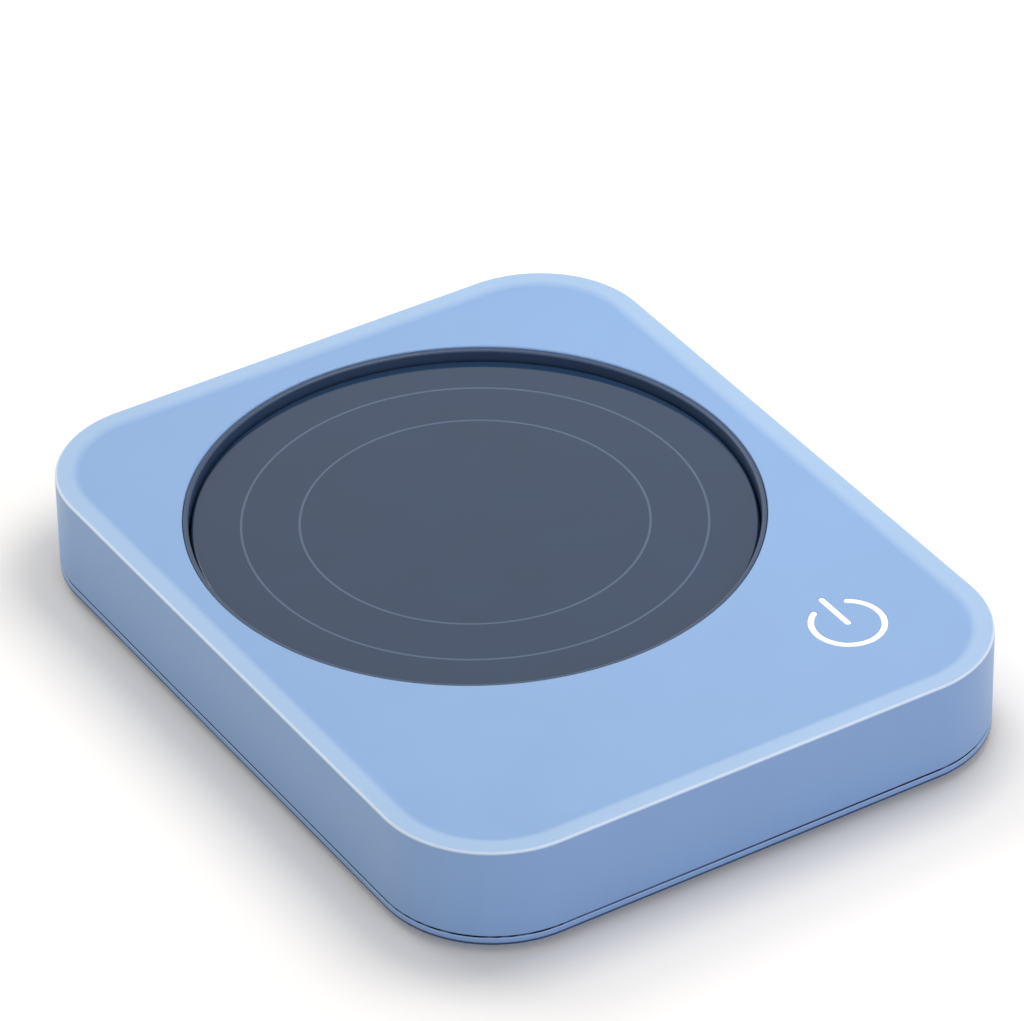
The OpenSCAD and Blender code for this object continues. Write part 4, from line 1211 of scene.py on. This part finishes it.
class Wiring:
    """Short calls that add nodes to a tree and link them."""

    def __init__(self, tree: Tree) -> None:
        """Works on one node tree."""
        self.tree = tree

    def add(self, kind: str, **settings: object) -> Node:
        """Adds a node and sets its properties."""
        node = self.tree.nodes.new(kind)
        for key, value in settings.items():
            setattr(node, key, value)
        return node

    def plug(self, socket: Socket, value: object) -> None:
        """Links an input to another node's output, or sets it to a constant."""
        if isinstance(value, Socket):
            self.tree.links.new(value, socket)
        else:
            socket.default_value = value

    def feed(self, node: Node, **sockets: object) -> Node:
        """Fills a node's inputs by name. A name's underscores stand for spaces."""
        for name, value in sockets.items():
            self.plug(node.inputs[name.replace("_", " ")], value)
        return node

    def fill(self, node: Node, values: Sequence[object], numbers: Sequence[int] = (0, 1, 2)) -> Node:
        """Fills a node's inputs by number, because some share a name."""
        for number, value in zip(numbers, values):
            self.plug(node.inputs[number], value)
        return node

    def math(self, operation: str, *values: object) -> Socket:
        """A Math node's result for sockets or numbers."""
        return self.fill(self.add("ShaderNodeMath", operation=operation), values).outputs[0]

    def vector(self, operation: str, *values: object) -> Socket:
        """A Vector Math node's result: a number for LENGTH, and a vector for the others."""
        node = self.fill(self.add("ShaderNodeVectorMath", operation=operation), values)
        return node.outputs["Value" if operation == "LENGTH" else "Vector"]

    def blend(self, share: object, low: object, high: object) -> Socket:
        """A mix of two colours by a share."""
        node = self.add("ShaderNodeMix", data_type="RGBA")
        return self.fill(node, (share, low, high), (0, 6, 7)).outputs[2]

    def mix(self, share: object, low: object, high: object) -> Socket:
        """A mix of two values by a share."""
        node = self.add("ShaderNodeMix", data_type="FLOAT")
        return self.fill(node, (share, low, high), (0, 2, 3)).outputs[0]

    def rescale(self, value: Socket, given: Place, wanted: Sequence[object]) -> Socket:
        """A value mapped from one range to another."""
        node = self.feed(self.add("ShaderNodeMapRange"), Value=value, From_Min=given[0],
                         From_Max=given[1], To_Min=wanted[0], To_Max=wanted[1])
        return node.outputs[0]


def spark(wires: Wiring, vector: Socket, scale: Socket) -> Socket:
    """A noise with small pits added to it."""
    finer, pit_depth = 1.7, 0.5
    noise = wires.feed(wires.add("ShaderNodeTexNoise"), Vector=vector, Scale=scale,
                       Detail=3.0, Roughness=0.6)
    pits = wires.feed(wires.add("ShaderNodeTexVoronoi", feature="SMOOTH_F1"), Vector=vector,
                      Scale=wires.math("MULTIPLY", scale, finer), Smoothness=0.6)
    return wires.math("MULTIPLY_ADD", pits.outputs["Distance"], pit_depth, noise.outputs[0])


def brushed(wires: Wiring, vector: Socket, scale: Socket) -> Socket:
    """A noise stretched along X."""
    stretched = wires.feed(wires.add("ShaderNodeMapping"), Vector=vector, Scale=(0.04, 1.0, 1.0))
    noise = wires.feed(wires.add("ShaderNodeTexNoise"), Vector=stretched.outputs[0], Scale=scale,
                       Detail=4.0, Roughness=0.7)
    return noise.outputs[0]


def cells(wires: Wiring, vector: Socket, scale: Socket) -> Socket:
    """The distance to the nearest cell's middle, rounded off by a power."""
    rounding = 0.6
    found = wires.feed(wires.add("ShaderNodeTexVoronoi", feature="F1"), Vector=vector, Scale=scale)
    return wires.math("POWER", found.outputs["Distance"], rounding)


def flakes(wires: Wiring, vector: Socket, scale: Socket) -> Socket:
    """Cells that each have a level of their own."""
    found = wires.feed(wires.add("ShaderNodeTexVoronoi", feature="F1"), Vector=vector, Scale=scale)
    return wires.fill(wires.add("ShaderNodeSeparateColor"), [found.outputs["Color"]]).outputs[0]


def weave(wires: Wiring, vector: Socket, scale: Socket) -> Socket:
    """Two sets of waves that cross, one times the other."""
    sets = [wires.feed(wires.add("ShaderNodeTexWave", bands_direction=axis), Vector=vector, Scale=scale)
            for axis in "XY"]
    return wires.math("MULTIPLY", *(waves.outputs[1] for waves in sets))


def slow_drift(wires: Wiring, vector: Socket, scale: Socket, low: Socket, high: Socket) -> Socket:
    """A soft noise, stretched so that nearly all of it runs from low to high."""
    noise_span = (0.3, 0.7)
    noise = wires.feed(wires.add("ShaderNodeTexNoise"), Vector=vector, Scale=scale,
                       Detail=2.0, Roughness=0.5)
    return wires.rescale(noise.outputs[0], noise_span, (low, high))


def tinted(wires: Wiring, colour: Socket, value: Socket) -> Socket:
    """A colour made a little darker or lighter: colour times value."""
    scaled = wires.add("ShaderNodeVectorMath", operation="SCALE")
    return wires.feed(scaled, Vector=colour, Scale=value).outputs[0]


@dataclass(frozen=True)
class Group:
    """A shader group: its name, the function that wires it, and the names and types of its sockets.

    It is built once and placed in many materials.
    """

    name: str
    wire: Callable[..., Socket]
    inputs: tuple[tuple[str, str], ...] = (("Vector", "Vector"), ("Scale", "Float"))
    output: tuple[str, str] = ("Height", "Float")

    def _tree(self) -> Tree:
        """The group's nodes, built when they are first asked for."""
        ready = bpy.data.node_groups.get(self.name)
        if ready:
            return ready
        tree = bpy.data.node_groups.new(self.name, "ShaderNodeTree")
        sides = [("INPUT", *given) for given in self.inputs] + [("OUTPUT", *self.output)]
        for side, socket, kind in sides:
            tree.interface.new_socket(name=socket, in_out=side, socket_type=f"NodeSocket{kind}")
        wires = Wiring(tree)
        given, result = wires.add("NodeGroupInput"), wires.add("NodeGroupOutput")
        wires.plug(result.inputs[0], self.wire(wires, *given.outputs[:len(self.inputs)]))
        return tree

    def place(self, wires: Wiring, **sockets: object) -> Socket:
        """Places the group in a material.

        Args:
            wires: The material's wiring.
            sockets: A value or an output for each of the group's inputs.

        Returns:
            The group's output.
        """
        return wires.feed(wires.add("ShaderNodeGroup", node_tree=self._tree()), **sockets).outputs[0]


DRIFT = Group("slow_drift", slow_drift, (("Vector", "Vector"), ("Scale", "Float"),
                                         ("Low", "Float"), ("High", "Float")), ("Value", "Float"))
TINT = Group("tint", tinted, (("Colour", "Color"), ("Value", "Float")), ("Colour", "Color"))


class Grain(Enum):
    """Surface textures: groups whose height runs from about 0 to 1."""

    SPARK = Group("spark_grain", spark)
    BRUSHED = Group("brushed_grain", brushed)
    CELLS = Group("cell_grain", cells)
    FLAKES = Group("flake_grain", flakes)
    WEAVE = Group("weave_grain", weave)


# ---- Finishes ----


def linear(red: float, green: float, blue: float) -> Colour:
    """A colour given in display values of 0 to 255, as scene-linear values.

    Each channel c is c / 12.92 below 0.04045, and ((c + 0.055) / 1.055)^2.4 above it.
    """
    shown = np.array([red, green, blue]) / 255
    return tuple(np.where(shown <= 0.04045, shown / 12.92, ((shown + 0.055) / 1.055) ** 2.4).tolist())


@dataclass(frozen=True)
class Finish:
    """A plain finish: one colour with slow drift in tone and gloss, and a fine grain."""

    slot: str
    colour: Colour
    roughness: float
    metallic: float = 0.0
    specular: float = 0.5
    coat: float = 0.0
    grain: Grain = Grain.SPARK
    grain_size: float = 0.25 * MM
    grain_height: float = 4e-6
    tone_spread: float = 0.03
    gloss_spread: float = 0.04
    drift_size: float = 12.0 * MM

    def build(self) -> Material:
        """Makes the material from its parts: colour, gloss and relief."""
        material = bpy.data.materials.new(f"finish_{self.slot}")
        material.use_nodes = True
        wires = Wiring(material.node_tree)
        shader = material.node_tree.nodes["Principled BSDF"]
        place = wires.add("ShaderNodeTexCoord").outputs["Object"]
        wires.feed(shader, Base_Color=self._colour(wires, place), Roughness=self._gloss(wires, place),
                   Metallic=self.metallic, Normal=self._relief(wires, place),
                   Specular_IOR_Level=self.specular, Coat_Weight=self.coat)
        self._extras(wires, shader)
        return material

    def _drift(self, wires: Wiring, place: Socket, mean: float, spread: float) -> Socket:
        """A value that drifts slowly over the surface, by the spread either way."""
        return DRIFT.place(wires, Vector=place, Scale=1 / self.drift_size, Low=mean - spread,
                           High=mean + spread)

    def _base(self, wires: Wiring, place: Socket) -> object:
        """The colour before its drift in tone."""
        return (*self.colour, 1.0)

    def _colour(self, wires: Wiring, place: Socket) -> Socket:
        """The colour with its drift in tone."""
        value = self._drift(wires, place, 1, self.tone_spread)
        return TINT.place(wires, Colour=self._base(wires, place), Value=value)

    def _gloss(self, wires: Wiring, place: Socket) -> Socket:
        """The roughness with its drift."""
        return self._drift(wires, place, self.roughness, self.gloss_spread)

    def _relief(self, wires: Wiring, place: Socket) -> Socket:
        """The grain as a bump: its height is in metres."""
        height = self.grain.value.place(wires, Vector=place, Scale=1 / self.grain_size)
        bump = wires.feed(wires.add("ShaderNodeBump"), Strength=1.0, Distance=self.grain_height,
                          Height=height)
        return bump.outputs[0]

    def _extras(self, wires: Wiring, shader: Node) -> None:
        """Room for what one finish has and others don't."""


@dataclass(frozen=True)
class LippedPlastic(Finish):
    """The casing's satin plastic, with painted light marked on it.

    Lighter on the lip, partly as a painted highlight; a glossier painted highlight on the crease and
    the cover's lip; matt painted shade in the groove and along the cover's lower edge.
    """

    lip_colour: Colour = (0.4, 0.6, 0.8)
    painted_highlight_colour: Colour = (0.7, 0.8, 0.9)
    painted_shade_colour: Colour = (0.02, 0.04, 0.08)
    crease_roughness: float = 0.2
    groove_roughness: float = 0.95

    def _marks(self, wires: Wiring) -> bpy.types.bpy_prop_collection:
        """The piece's marks, one channel for each."""
        marks = wires.add("ShaderNodeAttribute", attribute_name=Shell.MARKS)
        return wires.fill(wires.add("ShaderNodeSeparateColor"), [marks.outputs["Color"]]).outputs

    def _base(self, wires: Wiring, place: Socket) -> object:
        """The panel's colour, mixed to the lip's, the painted highlight's and the painted shade's by their
        marks.
        """
        marks, colour = self._marks(wires), (*self.colour, 1.0)
        for mark, marked in (
            (Mark.LIP, self.lip_colour), (Mark.HIGHLIGHT, self.painted_highlight_colour),
            (Mark.SHADE, self.painted_shade_colour),
        ):
            colour = wires.blend(marks[mark.value], colour, (*marked, 1.0))
        return colour

    def _gloss(self, wires: Wiring, place: Socket) -> Socket:
        """The roughness with its drift, mixed to a glossier one under the painted highlight and a matt one
        under the painted shade.
        """
        marks = self._marks(wires)
        gloss = wires.mix(marks[Mark.HIGHLIGHT.value], super()._gloss(wires, place), self.crease_roughness)
        return wires.mix(marks[Mark.SHADE.value], gloss, self.groove_roughness)


@dataclass(frozen=True)
class PrintedGlass(Finish):
    """Dark glass with thin rings printed under it, round the well's centre."""

    centre: Place = (0.0, 0.0)
    rings: tuple[float, ...] = (27.0 * MM, 36.0 * MM)
    line: float = 0.18 * MM
    ring_colour: Colour = (0.2, 0.25, 0.3)

    def _base(self, wires: Wiring, place: Socket) -> object:
        """The glass's colour, and the rings' where the distance from the centre is near a ring's."""
        centred = wires.vector("SUBTRACT", place, (*self.centre, 0.0))
        flat = wires.feed(wires.add("ShaderNodeMapping"), Vector=centred, Scale=(1, 1, 0))
        distance = wires.vector("LENGTH", flat.outputs[0])
        share = 0.0
        for radius in self.rings:
            off = wires.math("ABSOLUTE", wires.math("SUBTRACT", distance, radius))
            share = wires.math("ADD", share, wires.math("LESS_THAN", off, self.line))
        return wires.blend(share, (*self.colour, 1.0), (*self.ring_colour, 1.0))


@dataclass(frozen=True)
class LitPlastic(Finish):
    """White translucent plastic that is lit a little from behind."""

    glow: float = 0.2

    def _extras(self, wires: Wiring, shader: Node) -> None:
        """Adds the glow."""
        wires.feed(shader, Emission_Color=(1.0, 1.0, 1.0, 1.0), Emission_Strength=self.glow)


@dataclass(frozen=True)
class Laminate(Finish):
    """A circuit board: solder mask with paler tracks under it."""

    track_colour: Colour = (0.1, 0.3, 0.15)
    track_pitch: float = 2.4 * MM
    track_share: float = 0.05

    def _base(self, wires: Wiring, place: Socket) -> object:
        """The mask's colour, and the tracks' along the edges of bricks."""
        bricks = wires.feed(wires.add("ShaderNodeTexBrick"), Vector=place, Mortar=(1, 1, 1, 1),
                            Scale=1 / (2 * self.track_pitch), Mortar_Size=self.track_share,
                            Color1=(0, 0, 0, 1), Color2=(0, 0, 0, 1))
        return wires.blend(bricks.outputs["Fac"], (*self.colour, 1.0), (*self.track_colour, 1.0))


def finishes(plan: Plan) -> list[Finish]:
    """The finish of every material slot."""
    return [
        # body_blue: the lip colour is partly a painted highlight, the highlight colour is a painted
        # highlight, and the shade colour is painted shade.
        LippedPlastic("body_blue", linear(138, 173, 218), 0.42, grain_size=0.22 * MM,
                      lip_colour=linear(166, 195, 228), painted_highlight_colour=linear(228, 242, 255),
                      painted_shade_colour=linear(14, 34, 78), tone_spread=0.01, grain_height=2e-6),
        Finish("slate_trim", linear(48, 68, 96), 0.4, grain_height=3e-6),
        PrintedGlass("black_glass", linear(32, 56, 86), 0.08, grain_size=3 * MM,
                     grain_height=1e-6, gloss_spread=0.03, centre=(0.0, plan.well_y),
                     ring_colour=linear(76, 96, 124)),
        LitPlastic("icon_white", linear(244, 247, 250), 0.35, grain_height=1e-6),
        Finish("spreader_aluminium", linear(205, 207, 211), 0.38, metallic=1.0, grain=Grain.BRUSHED),
        Finish("foil_metal", linear(200, 140, 92), 0.35, metallic=1.0, grain=Grain.BRUSHED),
        Finish("mica", linear(196, 178, 134), 0.45, grain=Grain.FLAKES, grain_size=1.2 * MM,
               grain_height=1.5e-5, tone_spread=0.12, drift_size=4 * MM),
        Finish("foam", linear(216, 211, 198), 0.85, grain=Grain.CELLS, grain_size=0.6 * MM,
               grain_height=6e-5),
        Finish("tray_plastic", linear(62, 65, 70), 0.6, grain_height=8e-6, tone_spread=0.08),
        Finish("steel", linear(190, 193, 198), 0.32, metallic=1.0, grain_size=0.4 * MM,
               tone_spread=0.06, gloss_spread=0.08, drift_size=2 * MM),
        Finish("sensor_resin", linear(36, 36, 42), 0.2, coat=0.4, grain_height=1e-6),
        Finish("red_insulation", linear(186, 48, 40), 0.5, grain_height=6e-6),
        Finish("white_insulation", linear(228, 228, 222), 0.5, grain_height=6e-6),
        Finish("black_insulation", linear(36, 36, 42), 0.5, grain_height=6e-6),
        Finish("switch_black", linear(30, 30, 36), 0.45),
        Finish("switch_red", linear(204, 62, 50), 0.4),
        Laminate("board_green", linear(22, 88, 50), 0.3, coat=0.3, grain=Grain.WEAVE,
                 grain_size=0.5 * MM, grain_height=3e-6, track_colour=linear(46, 128, 78)),
        Finish("chip_black", linear(34, 34, 38), 0.5, grain_height=6e-6),
        Finish("can_sleeve", linear(46, 58, 98), 0.25, grain_height=2e-6, tone_spread=0.06),
        Finish("led_lens", linear(250, 242, 214), 0.12, grain_height=1e-6),
        Finish("connector_white", linear(236, 236, 228), 0.45),
        Finish("socket_black", linear(24, 24, 27), 0.42),
        Finish("foot_rubber", linear(48, 50, 54), 0.78, grain_size=0.35 * MM, grain_height=1.2e-5,
               tone_spread=0.08),
    ]


# ---- Studio ----


@dataclass(frozen=True)
class Lamp:
    """A square area light that points at the object."""

    name: str
    azimuth: float
    elevation: float
    distance: float
    size: float
    power: float
    colour: Colour = (1.0, 1.0, 1.0)

    def build(self, target: Vector) -> None:
        """Places the lamp on a sphere about the target, and turns it to face it."""
        angle, rise = math.radians(self.azimuth), math.radians(self.elevation)
        out = Vector((math.cos(angle) * math.cos(rise), math.sin(angle) * math.cos(rise), math.sin(rise)))
        light = bpy.data.lights.new(self.name, "AREA")
        light.shape, light.size = "SQUARE", self.size
        light.energy, light.color = self.power, self.colour
        made = new_object(self.name, light)
        made.location = target + out * self.distance
        made.rotation_euler = out.to_track_quat("Z", "Y").to_euler()


@dataclass(frozen=True)
class Studio:
    """Camera, lamps, backdrop and floor."""

    plan: Plan
    azimuth: float = -31.697
    elevation: float = 35.366
    roll: float = -0.948
    distance: float = 1.061424
    target: tuple[float, float, float] = (0.016964, 0.028627, 0.0012)
    lens: float = 236.305
    sensor: float = 36.0
    clip: Place = (0.01, 100.0)
    ambient: float = 0.5
    floor_size: float = 8.0
    floor_colour: Colour = (0.92, 0.886, 0.845)
    floor_lift: Place = (0.08, 0.65)
    floor_reach: Place = (0.004, 0.07)
    lamps: tuple[Lamp, ...] = (
        Lamp("key_lamp", azimuth=5.0, elevation=73.0, distance=0.26, size=0.14, power=0.3,
             colour=(1.0, 0.99, 0.97)),
        Lamp("back_lamp", azimuth=98.0, elevation=42.0, distance=0.9, size=0.45, power=1.7),
        Lamp("front_fill", azimuth=-86.0, elevation=14.0, distance=0.8, size=0.4, power=0.95,
             colour=(0.5, 0.61, 1.0)),
    )

    def build(self) -> None:
        """Makes the whole studio."""
        bpy.context.scene.view_settings.view_transform = "Standard"
        self._camera()
        for lamp in self.lamps:
            lamp.build(Vector((0.0, 0.0, 0.0)))
        self._world()
        self._floor()

    def _camera(self) -> None:
        """Places the camera: azimuth 0 looks along +Y, and the roll turns it about its own axis."""
        turn, rise, roll = (math.radians(x) for x in (self.azimuth, self.elevation, self.roll))
        back = Vector((math.sin(turn) * math.cos(rise), -math.cos(turn) * math.cos(rise), math.sin(rise)))
        right = Vector((math.cos(turn), math.sin(turn), 0.0))
        up = back.cross(right)
        rolled_right = right * math.cos(roll) + up * math.sin(roll)
        rolled_up = up * math.cos(roll) - right * math.sin(roll)
        data = bpy.data.cameras.new("camera")
        data.lens, data.sensor_width, data.sensor_fit = self.lens, self.sensor, "HORIZONTAL"
        data.clip_start, data.clip_end = self.clip
        camera = new_object("camera", data)
        axes = Matrix((rolled_right, rolled_up, back)).transposed().to_4x4()
        camera.matrix_world = Matrix.Translation(Vector(self.target) + back * self.distance) @ axes
        bpy.context.scene.camera = camera

    @staticmethod
    def _seen(wires: Wiring) -> Socket:
        """1 for camera, glossy and transmission rays, and 0 for the rest."""
        rays = wires.add("ShaderNodeLightPath").outputs
        either = wires.math("MAXIMUM", rays["Is Camera Ray"], rays["Is Glossy Ray"])
        return wires.math("MAXIMUM", either, rays["Is Transmission Ray"])

    def _world(self) -> None:
        """A white backdrop to look at, and a softer ambient light on the object."""
        world = bpy.data.worlds.new("backdrop")
        bpy.context.scene.world = world
        world.use_nodes = True
        wires = Wiring(world.node_tree)
        strength = wires.rescale(self._seen(wires), (0.0, 1.0), (self.ambient, 1.0))
        wires.feed(world.node_tree.nodes["Background"], Color=(1.0, 1.0, 1.0, 1.0), Strength=strength)

    def _from_casing(self, wires: Wiring) -> Socket:
        """Distance over the floor from the casing's outline, a rectangle with round corners.

        It is |max(|p| - c, 0)| - r, with c the centre of a corner's curve and r its radius.
        """
        place = wires.add("ShaderNodeTexCoord").outputs["Object"]
        past = wires.vector("SUBTRACT", wires.vector("ABSOLUTE", place), (*self.plan.corner, 0))
        length = wires.vector("LENGTH", wires.vector("MAXIMUM", past, (0, 0, 0)))
        return wires.math("SUBTRACT", length, self.plan.corner_radius)

    def _floor(self) -> None:
        """A pale floor that takes the object's shadow, lifted towards white more away from the casing, and
        clear from below.
        """
        mesh = bpy.data.meshes.new("floor")
        corners = level(0.0)(self.floor_size / 2 * CORNERS)
        mesh.from_pydata(corners.tolist(), [], [(0, 1, 2, 3)])
        floor = new_object("floor", mesh)
        material = bpy.data.materials.new("floor_white")
        material.use_nodes = True
        tree = material.node_tree
        tree.nodes.remove(tree.nodes["Principled BSDF"])
        wires = Wiring(tree)
        matt = wires.feed(wires.add("ShaderNodeBsdfDiffuse"), Color=(*self.floor_colour, 1.0))
        # Painted light: the glow grows with distance from the casing, so the floor is whiter away from the
        # object and its shadow fades sooner.
        lift = wires.rescale(self._from_casing(wires), self.floor_reach, self.floor_lift)
        glow = wires.feed(wires.add("ShaderNodeEmission"), Color=(1.0, 1.0, 1.0, 1.0),
                          Strength=wires.math("MULTIPLY", self._seen(wires), lift))
        both = wires.fill(wires.add("ShaderNodeAddShader"), (matt.outputs[0], glow.outputs[0]))
        below = wires.add("ShaderNodeNewGeometry").outputs["Backfacing"]
        clear = wires.add("ShaderNodeBsdfTransparent")
        sides = wires.fill(wires.add("ShaderNodeMixShader"), (below, both.outputs[0], clear.outputs[0]))
        wires.feed(tree.nodes["Material Output"], Surface=sides.outputs[0])
        mesh.materials.append(material)


# ---- Putting it together ----


def dress_nodes(frame: dict, shelf: dict[str, Material]) -> None:
    """Gives every CAD node that still shows the finish of its slot in the record."""
    for part in frame["record"]["subparts"]:
        node = frame["nodes"][part["node"]]
        for holder in node.material_slots:
            holder.material = shelf[part["material_slot"]]


def plate_travel(frame: dict) -> float:
    """How far the plate sinks, from the record's joint."""
    joints = frame["record"]["behaviour"]["joints"]
    return next(joint["range_m"][1] for joint in joints if joint["name"] == "plate_travel")


def main() -> None:
    """Loads the frame, builds the studio and the pieces, and dresses the nodes that stay."""
    logging.basicConfig(level=logging.INFO, format="%(name)s: %(message)s")
    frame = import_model()
    plan = Plan.from_frame()
    Studio(plan).build()
    shelf = {finish.slot: finish.build() for finish in finishes(plan)}
    dress_nodes(frame, shelf)
    well = Well(plan)
    for build, slot, body, node in (
        (Housing(plan).build, "body_blue", Body.CASING, "top_housing"),
        (Cover(plan).build, "body_blue", Body.CASING, "bottom_cover"),
        (Feet(plan).build, "foot_rubber", Body.CASING, "rubber_feet"),
        (well.build_ring, "slate_trim", Body.CASING, "well_ring"),
        (well.build_plate, "black_glass", Body.PLATE, "heating_plate"),
        (TouchKey(plan).build, "icon_white", Body.CASING, "icon_lightguide"),
    ):
        made = carry(build(), shelf[slot], slot, body, node)
        LOG.info("%s: %d faces, on %s", made.name, len(made.data.polygons), body.value)
    springs = Springs(plan)
    coils = carry(springs.build(), shelf["steel"], "steel", Body.CASING, "plate_springs")
    springs.dress(coils, plate_travel(frame))
    LOG.info("%s: %d faces, flattens", coils.name, len(coils.data.polygons))
    for leads in plate_leads(plan):
        wires = leads.build()
        leads.dress(wires, shelf[leads.slot])
        LOG.info("%s: %d faces, bends", wires.name, len(wires.data.polygons))


if __name__ == "__main__":
    main()
